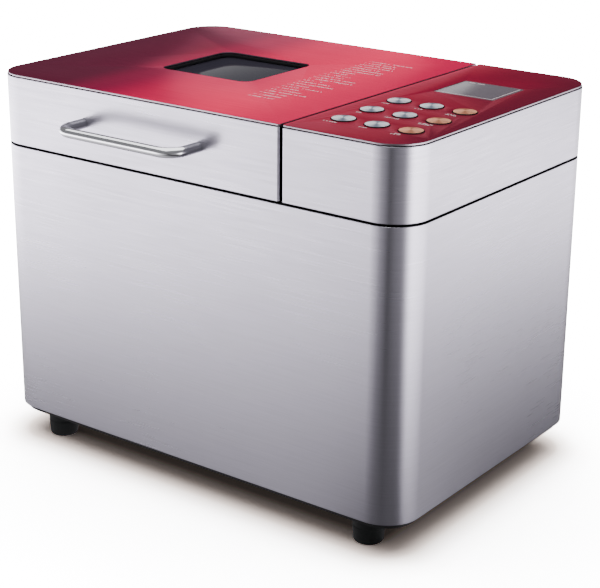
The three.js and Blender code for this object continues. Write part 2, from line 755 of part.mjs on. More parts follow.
part(lid, "lid_shell", lidShell(), brushedSteel);
part(lid, "lid_frame", lidFrame(), blackPlastic);
part(lid, "lid_top_plate", lidTopPlate(), redPlate);
part(lid, "lid_window", windowSlab(GLASS_LAP, FRAME_UNDER - GAP - GLASS_T, GLASS_T), smokedGlass);
part(lid, "lid_cover", lidCover(), bareSteel);
const innerPane = windowSlab(GLASS_LAP, DOME_ROOF + COVER_T + GAP, GLASS_T);
part(lid, "lid_inner_pane", innerPane, smokedGlass);
const sealHeight = COVER_Z - BODY_TOP - 2 * GAP;
const seal = ring(mouth(SEAL_GROW + SEAL_W), mouth(SEAL_GROW), BODY_TOP + GAP, sealHeight);
part(lid, "lid_seal", seal, silicone);
part(lid, "lid_handle", lidHandle(), polishedSteel);
part(lid, "handle_screw_left", handleScrew(handleEnds[0]), bareSteel);
part(lid, "handle_screw_right", handleScrew(handleEnds[1]), bareSteel);

for (const [side, x] of [
  ["left", LID_X - HINGE_SPREAD / 2],
  ["right", LID_X + HINGE_SPREAD / 2],
]) {
  part(lid, "hinge_leaf_lid_" + side, hingeLeaf(x, 1, MIDDLE_KNUCKLE), darkSteel);
  part(machine, "hinge_leaf_body_" + side, hingeLeaf(x, -1, OUTER_KNUCKLES), darkSteel);
  const pin = rodX(x - LEAF_W / 2 - 1, x + LEAF_W / 2 + 1, PIN_Y, PIN_Z, PIN_R, 12);
  part(machine, "hinge_pin_" + side, pin, bareSteel);
}

// ------------------------------------------------------------------------ controls
const controls = new THREE.Group();
machine.add(controls);

const buttonPlaces = [-1, 0, 1].flatMap((row) =>
  [-1, 0, 1].map((column) => ({
    name: `button_${row + 2}_${column + 2}`,
    copper: column === 1,
    x: BUTTON_X + column * BUTTON_PITCH_X,
    y: BUTTON_Y + row * BUTTON_PITCH_Y,
  })),
);

const buttonHoles = (z, height) =>
  buttonPlaces.map(({ x, y }) => rod(x, y, z - 1, BUTTON_R + BUTTON_CLEAR, height + 2, 14));

const lensSlab = (grow, z, height) =>
  slab(LENS_W + 2 * grow, LENS_D + 2 * grow, LENS_R, LENS_X, LENS_Y, z, height);

function controlFrame() {
  const posts = [-1, 1].flatMap((sx) =>
    [-1, 1].map((sy) => {
      const x = BUTTON_X + sx * (BOARD_W / 2 - 4);
      const y = BOARD_Y + sy * (BOARD_D / 2 - 4);
      return rod(x, y, BOARD_TOP + GAP, 3, FRAME_UNDER + 1 - BOARD_TOP - GAP, POST_SIDES);
    }),
  );
  const frame = join(controlSide(frameTop()), endWall(CONTROL_LEFT, BODY_TOP + GAP), ...posts);
  const display = lensSlab(-LENS_LAP, FRAME_UNDER - 1, MOULD_T + 2);
  return cut(frame, display, ...buttonHoles(FRAME_UNDER, MOULD_T));
}

function panelPlate() {
  const plate = controlSide(slab(...outline(PLATE_INSET), 0, 0, PLATE_Z, PLATE_T));
  return cut(plate, lensSlab(GAP, PLATE_Z - 1, PLATE_T + 2), ...buttonHoles(PLATE_Z, PLATE_T));
}

function controlBoard() {
  const low = [BUTTON_X - BOARD_W / 2, BOARD_Y - BOARD_D / 2, BOARD_Z];
  const board = box(low, [low[0] + BOARD_W, low[1] + BOARD_D, BOARD_TOP]);
  const switches = buttonPlaces.map(({ x, y }) =>
    box([x - 3, y - 3, BOARD_TOP - 0.5], [x + 3, y + 3, BOARD_TOP + SWITCH_H]),
  );
  return join(board, ...switches);
}

function button(x, y) {
  const flange = FRAME_UNDER - GAP;
  const top = PLATE_TOP + BUTTON_RISE;
  const rim = BUTTON_R + BUTTON_LAP;
  const stem = BOARD_TOP + SWITCH_H + GAP + BUTTON_TRAVEL;
  return turned(x, y, [
    [0, stem],
    [BUTTON_STEM_R, stem],
    [BUTTON_STEM_R, flange - BUTTON_FLANGE_T],
    [rim, flange - BUTTON_FLANGE_T],
    [rim, flange],
    [BUTTON_R, flange],
    [BUTTON_R, top - BUTTON_DOME],
    [0.6 * BUTTON_R, top - 0.3 * BUTTON_DOME],
    [0, top],
  ], 14);
}

part(controls, "control_shell", controlSide(ring(outline(0), outline(SHEET), BAND_Z, BAND_H)), brushedSteel);
part(controls, "control_frame", controlFrame(), blackPlastic);
part(controls, "panel_plate", panelPlate(), redPlate);
part(controls, "display_lens", lensSlab(0, PLATE_Z, PLATE_T - 0.2), displayGrey);
const moduleHeight = FRAME_UNDER - GAP - BOARD_TOP - GAP;
part(controls, "display_module", lensSlab(-2, BOARD_TOP + GAP, moduleHeight), whiteMould);
part(controls, "control_board", controlBoard(), greenBoard);
for (const { name, copper, x, y } of buttonPlaces) {
  part(controls, name, button(x, y), copper ? copperCap : silverCap);
}

// ------------------------------------------------------------------------ bread pan
const pan = new THREE.Group();
machine.add(pan);

// A round-cornered block centred on the chamber that narrows towards its lower end.
function panBlock(w, d, r, z, height, draw) {
  const geometry = extruded(roundRect(THREE.Shape, w, d, r), z, height, 6);
  const position = geometry.getAttribute("position");
  for (let i = 0; i < position.count; i += 1) {
    const low = 1 - (position.getZ(i) - z) / height;
    position.setX(i, position.getX(i) * (1 - (2 * draw * low) / w));
    position.setY(i, position.getY(i) * (1 - (2 * draw * low) / d));
  }
  return solid(geometry.translate(CHAMBER_X, CHAMBER_Y, 0));
}

const BAIL_X = PAN_W / 2 + PAN_LIP + BAIL_GAP + BAIL_ROD / 2;
const EYE_BEND = BAIL_ROD * 0.75;

function breadPan() {
  const height = PAN_TOP - PAN_FLOOR;
  const outside = panBlock(PAN_W, PAN_D, PAN_R, PAN_FLOOR, height, PAN_TAPER);
  const [w, d, r] = [PAN_W - 2 * PAN_WALL, PAN_D - 2 * PAN_WALL, PAN_R - PAN_WALL];
  const inside = panBlock(w, d, r, PAN_FLOOR + PAN_WALL, height, PAN_TAPER);
  const lip = ring(
    [PAN_W + 2 * PAN_LIP, PAN_D + 2 * PAN_LIP, PAN_R + PAN_LIP, CHAMBER_X, CHAMBER_Y],
    [PAN_W - 1, PAN_D - 1, PAN_R, CHAMBER_X, CHAMBER_Y],
    PAN_TOP - PAN_WALL,
    PAN_WALL,
  );
  const bosses = [-1, 1].map((side) => {
    const ends = [side * (PAN_W / 2 - PAN_TAPER), side * (PAN_W / 2 + PAN_LIP)].sort((a, b) => a - b);
    return rodX(CHAMBER_X + ends[0], CHAMBER_X + ends[1], CHAMBER_Y, BAIL_PIVOT_Z, BAIL_ROD, 16);
  });
  const reach = PAN_W / 2 + PAN_LIP + 1;
  const bore = rodX(CHAMBER_X - reach, CHAMBER_X + reach, CHAMBER_Y, BAIL_PIVOT_Z, BAIL_ROD / 2 + RUN, 16);
  const spindleHole = rod(CHAMBER_X, CHAMBER_Y, PAN_FLOOR - 1, SPINDLE_R + RUN, PAN_WALL + 2);
  return cut(join(cut(outside, inside), lip, ...bosses.map((boss) => cut(boss, inside))), bore, spindleHole);
}

function panBase() {
  const bore = SPINDLE_R + RUN;
  const hub = turned(CHAMBER_X, CHAMBER_Y, [
    [bore, SKIRT_ROOF],
    [SKIRT_R - 3, SKIRT_ROOF],
    [SKIRT_R - 3, PAN_FLOOR - SKIRT_H],
    [SKIRT_R, PAN_FLOOR - SKIRT_H],
    [SKIRT_R, PAN_FLOOR - GAP],
    [bore, PAN_FLOOR - GAP],
    [bore, SKIRT_ROOF],
  ]);
  const lugs = [-1, 1].map((side) => {
    const xs = [side * (SKIRT_R - 1), side * LUG_REACH].sort((a, b) => a - b);
    const low = [CHAMBER_X + xs[0], CHAMBER_Y - LUG_W / 2, SKIRT_ROOF - LUG_H / 2];
    return box(low, [CHAMBER_X + xs[1], low[1] + LUG_W, low[2] + LUG_H]);
  });
  return join(hub, ...lugs);
}

function panSeat() {
  const bore = SKIRT_R + 2;
  const wall = bore + 2.5;
  const z = CHAMBER_FLOOR + SHEET + GAP;
  const top = SKIRT_ROOF + LUG_H;
  const cup = turned(CHAMBER_X, CHAMBER_Y, [
    [bore, z],
    [wall + 6, z],
    [wall + 6, z + 2],
    [wall, z + 2],
    [wall, top],
    [bore, top],
    [bore, z],
  ]);
  const slot = LUG_W / 2 + 1;
  const low = [CHAMBER_X - wall - 1, CHAMBER_Y - slot, SKIRT_ROOF - LUG_H / 2 - GAP];
  return cut(cup, box(low, [CHAMBER_X + wall + 1, CHAMBER_Y + slot, top + 1]));
}

function panBail() {
  const end = PAN_W / 2 + GAP;
  const points = [
    [-end, 0],
    [-BAIL_X, 0],
    [-BAIL_X, BAIL_REACH],
    [BAIL_X, BAIL_REACH],
    [BAIL_X, 0],
    [end, 0],
  ].map(([x, y]) => [CHAMBER_X + x, CHAMBER_Y + y, BAIL_PIVOT_Z]);
  return bentRod(points, [EYE_BEND, BAIL_BEND, BAIL_BEND, EYE_BEND], BAIL_ROD / 2, 8);
}

function panSpindle() {
  const shaft = rod(CHAMBER_X, CHAMBER_Y, WING_Z, SPINDLE_R, SPINDLE_TOP - WING_Z);
  const low = [CHAMBER_X - WING_T / 2, CHAMBER_Y - WING_L / 2, WING_Z];
  return join(shaft, box(low, [low[0] + WING_T, low[1] + WING_L, WING_Z + WING_H]));
}

function kneadingPaddle() {
  const z = PAN_FLOOR + PAN_WALL + 1;
  const outside = turned(CHAMBER_X, CHAMBER_Y, [
    [0, z],
    [PADDLE_HUB_R, z],
    [PADDLE_HUB_R - 1.5, SPINDLE_TOP + 3],
    [PADDLE_HUB_R - 4, SPINDLE_TOP + 5],
    [0, SPINDLE_TOP + 5],
  ]);
  const fin = new THREE.Shape();
  fin.moveTo(0, 0);
  fin.lineTo(PADDLE_REACH, 0);
  fin.quadraticCurveTo(PADDLE_REACH + 2, PADDLE_H * 0.6, PADDLE_REACH - 8, PADDLE_H);
  fin.quadraticCurveTo(PADDLE_REACH * 0.55, PADDLE_H * 0.9, PADDLE_HUB_R * 0.5, PADDLE_H * 0.45);
  fin.lineTo(0, PADDLE_H * 0.45);
  fin.closePath();
  const blade = extruded(fin, -PADDLE_T / 2, PADDLE_T, 12);
  blade.rotateX(Math.PI / 2);
  const placed = solid(blade.translate(CHAMBER_X, CHAMBER_Y, z));
  const bore = rod(CHAMBER_X, CHAMBER_Y, z - 1, SPINDLE_R + GAP, SPINDLE_TOP + GAP - z + 1);
  return cut(join(outside, placed), bore);
}

part(machine, "pan_seat", panSeat(), castAluminium);
part(pan, "bread_pan", breadPan(), coatedPan);
part(pan, "pan_base", panBase(), castAluminium);
part(pan, "pan_bail", panBail(), polishedSteel);
part(pan, "pan_spindle", panSpindle(), polishedSteel);
part(pan, "kneading_paddle", kneadingPaddle(), coatedPan);

// ------------------------------------------------------------------------ drive
const drive = new THREE.Group();
machine.add(drive);

const DOG_Z = CHAMBER_FLOOR + SHEET + 1;

function driveShaft() {
  const shaft = turned(CHAMBER_X, CHAMBER_Y, [
    [0, FLOOR_Z + 2],
    [SHAFT_R, FLOOR_Z + 2],
    [SHAFT_R, DOG_Z],
    [DOG_R, DOG_Z],
    [DOG_R, DOG_Z + DOG_T],
    [0, DOG_Z + DOG_T],
  ]);
  const pegZ = DOG_Z + 1;
  const pegs = [-1, 1].map((side) => {
    const x = CHAMBER_X + side * (DOG_R - PEG_R - 1);
    return rod(x, CHAMBER_Y, pegZ, PEG_R, WING_Z + WING_H - pegZ, 10);
  });
  return join(shaft, ...pegs);
}

// A belt pulley: groove and flanges, with a thin web between hub and rim when it is large.
function pulley(x, bore, groove, hub, rim) {
  const flange = groove + BELT_GAP + BELT_T + 0.6;
  const web = (PULLEY_Z + PULLEY_TOP) / 2;
  const dish = rim > hub;
  const under = dish ? [[hub, PULLEY_Z], [hub, web - 1.5], [rim, web - 1.5], [rim, PULLEY_Z]] : [];
  const over = dish ? [[rim, PULLEY_TOP], [rim, web + 1.5], [hub, web + 1.5], [hub, PULLEY_TOP]] : [];
  return turned(x, CHAMBER_Y, [
    [bore, PULLEY_Z],
    ...under,
    [flange, PULLEY_Z],
    [flange, PULLEY_Z + FLANGE_T],
    [groove, PULLEY_Z + FLANGE_T],
    [groove, PULLEY_TOP - FLANGE_T],
    [flange, PULLEY_TOP - FLANGE_T],
    [flange, PULLEY_TOP],
    ...over,
    [bore, PULLEY_TOP],
    [bore, PULLEY_Z],
  ], dish ? 24 : 16);
}

// The loop of the belt's inner or outer face: two arcs and their outside tangents.
function beltLoop(Kind, away) {
  const big = BIG_PULLEY_R + BELT_GAP + away;
  const small = SMALL_PULLEY_R + BELT_GAP + away;
  const lean = Math.acos((big - small) / (MOTOR_X - CHAMBER_X));
  const loop = new Kind();
  loop.absarc(CHAMBER_X, CHAMBER_Y, big, lean, 2 * Math.PI - lean, false);
  loop.absarc(MOTOR_X, CHAMBER_Y, small, -lean, lean, false);
  loop.closePath();
  return loop;
}

function driveBelt() {
  const loop = beltLoop(THREE.Shape, BELT_T);
  loop.holes.push(beltLoop(THREE.Path, 0));
  return solid(extruded(loop, BELT_Z, BELT_H, 20));
}

function driveBearing() {
  const bore = SHAFT_R + RUN;
  const seat = CHASSIS_TOP + GAP;
  return turned(CHAMBER_X, CHAMBER_Y, [
    [bore, CHASSIS_Z - 5],
    [BEARING_R, CHASSIS_Z - 5],
    [BEARING_R, seat],
    [BEARING_R + 6, seat],
    [BEARING_R + 6, seat + 3],
    [BEARING_R, seat + 3],
    [BEARING_R, CHAMBER_FLOOR - 3],
    [bore, CHAMBER_FLOOR - 3],
    [bore, CHASSIS_Z - 5],
  ]);
}

const MOTOR_Z = CHASSIS_TOP + BRACKET_H;
const MOTOR_TOP = MOTOR_Z + MOTOR_H;
const motorBore = (z, height) => rod(MOTOR_X, CHAMBER_Y, z - 1, MOTOR_SHAFT_R + RUN, height + 2);

function motorBracket() {
  const foot = CHASSIS_TOP + GAP;
  const top = MOTOR_Z - GAP;
  const plate = slab(STACK_W + 10, STACK_W + 10, 8, MOTOR_X, CHAMBER_Y, top - 2, 2);
  const legs = [-1, 1].flatMap((sx) =>
    [-1, 1].map((sy) =>
      rod(MOTOR_X + (sx * STACK_W) / 2, CHAMBER_Y + (sy * STACK_W) / 2, foot, 4, top - 1 - foot, POST_SIDES),
    ),
  );
  return cut(join(plate, ...legs), rod(MOTOR_X, CHAMBER_Y, top - 4, 12, 6));
}

function motorHousing() {
  const shell = turned(MOTOR_X, CHAMBER_Y, [
    [0, MOTOR_Z],
    [MOTOR_R - 8, MOTOR_Z],
    [MOTOR_R, MOTOR_Z + 6],
    [MOTOR_R, MOTOR_TOP - 6],
    [MOTOR_R - 8, MOTOR_TOP],
    [0, MOTOR_TOP],
  ]);
  const stackZ = MOTOR_Z + (MOTOR_H - STACK_H) / 2;
  const stack = slab(STACK_W, STACK_W, 10, MOTOR_X, CHAMBER_Y, stackZ, STACK_H);
  return cut(join(shell, stack), motorBore(MOTOR_Z, MOTOR_H));
}

function motorFan() {
  const z = MOTOR_TOP + 3;
  const hub = turned(MOTOR_X, CHAMBER_Y, [
    [MOTOR_SHAFT_R + GAP, z],
    [9, z],
    [9, z + FAN_H],
    [MOTOR_SHAFT_R + GAP, z + FAN_H],
    [MOTOR_SHAFT_R + GAP, z],
  ], 16);
  const blades = [];
  for (let i = 0; i < FAN_BLADES; i += 1) {
    const blade = new THREE.BoxGeometry(FAN_R - 8, 1.5, FAN_H);
    blade.rotateX(FAN_PITCH);
    blade.translate((FAN_R + 8) / 2, 0, 0);
    blade.rotateZ((i / FAN_BLADES) * 2 * Math.PI);
    blades.push(solid(blade.translate(MOTOR_X, CHAMBER_Y, z + FAN_H / 2)));
  }
  return join(hub, ...blades);
}

function powerBoard() {
  const z = CHASSIS_TOP + GAP;
  const [x, y] = [RIGHT - POWER_SIDE, FRONT + POWER_FRONT];
  const board = box([x, y, z], [x + BOARD_T, y + POWER_D, z + POWER_H]);
  const transformer = box([x - 26, y + 8, z + 8], [x + 0.5, y + 40, z + 36]);
  const relay = box([x - 16, y + 8, z + 46], [x + 0.5, y + 28, z + 62]);
  const heatSink = box([x - 14, y + 38, z + 46], [x + 0.5, y + 44, z + 74]);
  return join(board, transformer, relay, heatSink);
}

part(drive, "drive_shaft", driveShaft(), polishedSteel);
const largePulley = pulley(CHAMBER_X, SHAFT_R + GAP, BIG_PULLEY_R, HUB_R, BIG_PULLEY_R - RIM_W);
part(drive, "large_pulley", largePulley, whiteMould);
part(drive, "drive_belt", driveBelt(), rubber);
part(drive, "drive_bearing", driveBearing(), castAluminium);
const shaftZ = FLOOR_Z + 2;
const shaftTop = MOTOR_TOP + 3 + FAN_H + 2;
const motorShaft = rod(MOTOR_X, CHAMBER_Y, shaftZ, MOTOR_SHAFT_R, shaftTop - shaftZ);
part(drive, "motor_shaft", motorShaft, polishedSteel);
part(drive, "motor_pulley", pulley(MOTOR_X, MOTOR_SHAFT_R + GAP, SMALL_PULLEY_R, 0, 0), darkSteel);
part(drive, "motor_fan", motorFan(), whiteMould);
part(drive, "motor_housing", motorHousing(), castAluminium);
part(drive, "motor_bracket", motorBracket(), bareSteel);
const capacitor = rod(
  RIGHT - CAPACITOR_SIDE,
  BACK - CAPACITOR_BACK,
  CHASSIS_TOP + GAP,
  CAPACITOR_R,
  CAPACITOR_H,
);
part(drive, "motor_capacitor", capacitor, whiteMould);
part(machine, "power_board", powerBoard(), greenBoard);

export default machine;
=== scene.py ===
"""Bread machine: the fine surfaces, finishes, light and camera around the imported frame.

Metres, +Z up, +X to the right seen from the front, +Y to the back. Every piece takes its place
from the frame, rides on the body of the node that it stands for and takes that node's slot.
"""

import json
import logging
import math
from dataclasses import dataclass
from enum import Enum

import bmesh
import bpy
import numpy as np
from mathutils import Euler, Matrix, Vector
from mathutils.geometry import tessellate_polygon

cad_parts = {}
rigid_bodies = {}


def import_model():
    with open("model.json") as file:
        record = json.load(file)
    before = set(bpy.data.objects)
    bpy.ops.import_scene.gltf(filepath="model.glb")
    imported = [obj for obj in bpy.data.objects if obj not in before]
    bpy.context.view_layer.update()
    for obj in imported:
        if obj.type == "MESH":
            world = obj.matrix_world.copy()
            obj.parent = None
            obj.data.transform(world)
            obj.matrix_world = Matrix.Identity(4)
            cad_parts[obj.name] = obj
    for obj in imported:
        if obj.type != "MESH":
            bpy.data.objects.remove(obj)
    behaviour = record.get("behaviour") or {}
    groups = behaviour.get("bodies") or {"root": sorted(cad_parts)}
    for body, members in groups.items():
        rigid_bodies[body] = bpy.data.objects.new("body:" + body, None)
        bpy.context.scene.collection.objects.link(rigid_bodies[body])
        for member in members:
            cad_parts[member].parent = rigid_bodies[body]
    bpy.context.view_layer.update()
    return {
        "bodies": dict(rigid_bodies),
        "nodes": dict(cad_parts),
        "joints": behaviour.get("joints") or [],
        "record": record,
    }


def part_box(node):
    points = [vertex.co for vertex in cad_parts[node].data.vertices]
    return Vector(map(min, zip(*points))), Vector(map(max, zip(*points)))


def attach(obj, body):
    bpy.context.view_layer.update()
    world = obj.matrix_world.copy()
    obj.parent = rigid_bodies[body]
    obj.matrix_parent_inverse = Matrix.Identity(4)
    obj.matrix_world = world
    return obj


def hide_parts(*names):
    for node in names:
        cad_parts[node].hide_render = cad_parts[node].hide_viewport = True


LOG = logging.getLogger("bread_machine")
MM = 0.001
Array = np.ndarray
Colour = tuple[float, float, float]
Point = tuple[float, float, float]
Value = float | tuple | bpy.types.NodeSocket
X_AXIS, Y_AXIS, Z_AXIS = np.eye(3)
NO_AREA = 1e-14
INK = 0.02 * MM


def linked(name: str, data: bpy.types.ID) -> bpy.types.Object:
    """A new object of some data, linked to the scene."""
    made = bpy.data.objects.new(name, data)
    bpy.context.scene.collection.objects.link(made)
    return made


# ------------------------------------------------------------------------------ surfaces
def unit(vectors: Array) -> Array:
    """Vectors scaled to length one along their last axis."""
    return vectors / np.linalg.norm(vectors, axis=-1, keepdims=True)


def right_of(direction: Array) -> Array:
    """The plane direction a quarter turn clockwise: (x, y) becomes (y, -x)."""
    return np.stack([direction[..., 1], -direction[..., 0]], -1)


@dataclass
class Path:
    """A plane path as points with the unit normals on its right-hand side."""

    points: Array
    normals: Array
    closed: bool = True

    def reversed(self) -> "Path":
        """The same path walked the other way with its normals kept."""
        return Path(self.points[::-1], self.normals[::-1], self.closed)


def rounded_path(
    corners: Array, radii: Array | float, closed: bool = True, steps: int = 12, hold: float = 0.8 * MM
) -> Path:
    """Straights joined by arcs.

    Each arc's centre lies one radius from both straights, so it starts at the radius times the
    tangent of half the turn before its corner. Its normals turn evenly through the corner.
    A held point stands just outside each end of an arc, so that shading stays flat on straights.

    Args:
        corners: the corner points in order, counter-clockwise for normals that point outward.
        radii: one radius for all corners, or one for each.
        closed: whether the last corner joins the first.
        steps: segments along each arc.
        hold: distance of the held points from the arc.

    Returns:
        The path.
    """
    corners = np.asarray(corners, float)
    radii = np.broadcast_to(np.asarray(radii, float), len(corners))
    ahead = unit(np.roll(corners, -1, 0) - corners)
    behind = np.roll(ahead, 1, 0)
    turned_at = slice(None) if closed else slice(1, -1)
    into, away, radius = behind[turned_at], ahead[turned_at], radii[turned_at, None]
    turn = np.arctan2(into[:, 0] * away[:, 1] - into[:, 1] * away[:, 0], (into * away).sum(1))[:, None]
    side = np.sign(turn)
    normal = right_of(into)
    centre = corners[turned_at] - into * radius * np.tan(np.abs(turn) / 2) - side * radius * normal
    angle = turn * np.linspace(0, 1, steps + 1)
    cos, sin = np.cos(angle), np.sin(angle)
    n = np.stack([normal[:, :1] * cos - normal[:, 1:] * sin, normal[:, :1] * sin + normal[:, 1:] * cos], -1)
    p = centre[:, None] + (side * radius)[:, None] * n
    first = (p[:, 0] - hold * into)[:, None]
    last = (p[:, -1] + hold * away)[:, None]
    points = np.concatenate([first, p, last], 1).reshape(-1, 2)
    normals = np.concatenate([n[:, :1], n, n[:, -1:]], 1).reshape(-1, 2)
    if not closed:
        points = np.concatenate([corners[:1], points, corners[-1:]])
        normals = np.concatenate([right_of(ahead[:1]), normals, right_of(ahead[-2:-1])])
    return Path(points, normals, closed)


def rounded_rectangle(low: Array, high: Array, radius: float, steps: int = 12) -> Path:
    """A counter-clockwise rectangle between two corners with rounded corners."""
    corners = [(low[0], low[1]), (high[0], low[1]), (high[0], high[1]), (low[0], high[1])]
    return rounded_path(corners, radius, True, steps)


def circle(centre: Array, radius: float, steps: int = 64) -> Path:
    """A counter-clockwise circle: the radius times the cosine and sine of an even angle.

    Args:
        centre: its centre; a height is left aside.
        radius: its radius.
        steps: points round it.

    Returns:
        The path.
    """
    angle = np.arange(steps) * 2 * np.pi / steps
    normals = np.stack([np.cos(angle), np.sin(angle)], 1)
    return Path(np.asarray(centre)[:2] + radius * normals, normals)


@dataclass
class Surface:
    """Points, and polygons in blocks of equal size with the map position of each corner."""

    points: Array
    blocks: list[Array]
    maps: list[Array]

    def volume(self) -> float:
        """Signed volume: the sum over fan triangles of a . (b x c) / 6.

        Returns:
            The volume, above nought where the faces look outward.
        """
        total = 0.0
        for block in self.blocks:
            a, b, c = self.points[block[:, :1]], self.points[block[:, 1:-1]], self.points[block[:, 2:]]
            total += float((a * np.cross(b, c)).sum()) / 6
        return total

    def outward(self) -> "Surface":
        """The surface with its polygons turned round if they face in."""
        if self.volume() >= 0:
            return self
        return Surface(self.points, [b[:, ::-1] for b in self.blocks], [m[:, ::-1] for m in self.maps])


def merged(surfaces: list[Surface]) -> Surface:
    """Several closed surfaces as one, each kept whole.

    Args:
        surfaces: the surfaces.

    Returns:
        One surface with the blocks of all.
    """
    starts = np.cumsum([0] + [len(s.points) for s in surfaces[:-1]])
    blocks = [b + start for s, start in zip(surfaces, starts) for b in s.blocks]
    maps = [m for s in surfaces for m in s.maps]
    return Surface(np.concatenate([s.points for s in surfaces]), blocks, maps)


def along(steps: Array) -> Array:
    """Running length over a list of steps, starting at nought."""
    return np.concatenate([[0.0], np.cumsum(steps)])


def grid_surface(grid: Array, wrap_u: bool, wrap_v: bool) -> Surface:
    """A closed surface over a grid of points.

    The map's u is the running length over the rows and v the running length over the columns,
    each taken where the rows or columns lie furthest apart. Open ends get one flat cap each.

    Args:
        grid: points of shape (rows, columns, 3).
        wrap_u: whether the last row joins the first.
        wrap_v: whether the last column joins the first.

    Returns:
        The surface with its faces outward.
    """
    n, m = grid.shape[:2]
    around = np.concatenate([grid, grid[:1]])
    across = np.concatenate([grid, grid[:, :1]], 1)
    u = along(np.linalg.norm(np.diff(around, axis=0), axis=2).max(1))
    v = along(np.linalg.norm(np.diff(across, axis=1), axis=2).max(0))
    rows, columns = np.arange(n - (not wrap_u)), np.arange(m - (not wrap_v))
    i, j = (k.ravel() for k in np.meshgrid(rows, columns, indexing="ij"))
    corner_i, corner_j = np.stack([i, i + 1, i + 1, i], 1), np.stack([j, j, j + 1, j + 1], 1)
    blocks = [(corner_i % n) * m + corner_j % m]
    maps = [np.stack([u[corner_i], v[corner_j]], -1)]
    rings = []
    if wrap_v and not wrap_u:
        rings = [np.arange(m)[::-1], (n - 1) * m + np.arange(m)]
    if wrap_u and not wrap_v:
        rings = [np.arange(n) * m, (np.arange(n) * m + m - 1)[::-1]]
    points = grid.reshape(-1, 3)
    for ring in rings:
        blocks.append(ring[None])
        spread = points[ring] - points[ring].mean(0)
        maps.append(np.stack([spread[:, 0] + spread[:, 2], spread[:, 1]], -1)[None])
    return Surface(points, blocks, maps).outward()


def swept(path: Path, profile: Array) -> Surface:
    """A closed profile carried along a path: each point minus its normal times the inset.

    Args:
        path: the path.
        profile: the section as rows of (inset, height).

    Returns:
        The surface.
    """
    flat = path.points[:, None] - path.normals[:, None] * profile[None, :, :1]
    height = np.broadcast_to(profile[None, :, 1:], flat.shape[:2] + (1,))
    return grid_surface(np.concatenate([flat, height], 2), path.closed, True)


def sheet_profile(low: float, high: float, inner: float, roll: float, outer: float = 0.0) -> Array:
    """A standing wall's profile of (inset, height) with rolled edges.

    Args:
        low: height of its foot.
        high: height of its top.
        inner: inset of its inner face.
        roll: radius of its edges.
        outer: inset of its outer face.

    Returns:
        The profile.
    """
    corners = [(outer, low), (outer, high), (inner, high), (inner, low)]
    return rounded_path(corners, roll, True, 4, 0.5 * MM).points


def slab(outer: Path, holes: list[Path], low: float, high: float, bevel: float) -> Surface:
    """A plate with rounded edges and holes.

    Every loop carries the same wall, which rises from the lower face to the upper one with a
    quarter arc at each edge. The two faces are triangulated between the loops.

    Args:
        outer: the outline.
        holes: outlines of the holes.
        low: height of the lower face.
        high: height of the upper face.
        bevel: radius of the edges.

    Returns:
        The surface with its faces outward.
    """
    turn = np.linspace(0, np.pi / 2, 4)
    in_low, z_low = bevel * (1 - np.sin(turn)), low + bevel * (1 - np.cos(turn))
    inset = np.concatenate([in_low, in_low[::-1]])
    height = np.concatenate([z_low, (low + high) - z_low[::-1]])
    points, blocks, maps, tops, bottoms, start = [], [], [], [], [], 0
    for k, loop in enumerate([outer, *holes]):
        sign = 1 if k == 0 else -1
        walk = loop if k == 0 else loop.reversed()
        flat = walk.points[:, None] - sign * walk.normals[:, None] * inset[None, :, None]
        grid = np.concatenate([flat, np.broadcast_to(height[None, :, None], flat.shape[:2] + (1,))], 2)
        n, m = grid.shape[:2]
        i, j = (a.ravel() for a in np.meshgrid(np.arange(n), np.arange(m - 1), indexing="ij"))
        row, column = np.stack([i, (i + 1) % n, (i + 1) % n, i], 1), np.stack([j, j, j + 1, j + 1], 1)
        blocks.append(start + row * m + column)
        points.append(grid.reshape(-1, 3))
        bottoms.append(start + np.arange(n) * m)
        tops.append(start + np.arange(n) * m + m - 1)
        start += n * m
    points = np.concatenate(points)
    for rings, sign in ((tops, 1), (bottoms, -1)):
        loops = [[Vector((x, y, 0)) for x, y, _ in points[ring]] for ring in rings]
        triangles = np.array(tessellate_polygon(loops))
        block = np.concatenate(rings)[triangles]
        a, b, c = (points[block[:, k], :2] for k in range(3))
        area = (b - a)[:, 0] * (c - a)[:, 1] - (b - a)[:, 1] * (c - a)[:, 0]
        sound = np.abs(area) > NO_AREA
        block, area = block[sound], area[sound]
        blocks.append(np.where((area * sign > 0)[:, None], block, block[:, ::-1]))
    maps = [points[b][..., :2] for b in blocks]
    return Surface(points, blocks, maps)


def turned(
    profile: Array, centre: Array, steps: int = 64, axis: Array = Z_AXIS, closed: bool = False
) -> Surface:
    """A profile of (radius, height) turned about an axis through a centre.

    Args:
        profile: the section; an open one ends near the axis, and a closed one makes a ring.
        centre: the point that heights are counted from.
        steps: segments round the axis.
        axis: direction of the axis.
        closed: whether the profile closes on itself.

    Returns:
        The surface with its faces outward.
    """
    axis = np.asarray(axis, float)
    first = X_AXIS if abs(axis[0]) < 0.5 else Y_AXIS
    second = np.cross(axis, first)
    angle = np.arange(steps) * 2 * np.pi / steps
    spoke = np.cos(angle)[:, None] * first + np.sin(angle)[:, None] * second
    grid = np.asarray(centre) + spoke[:, None] * profile[None, :, :1] + axis * profile[None, :, 1:]
    return grid_surface(grid, True, closed)


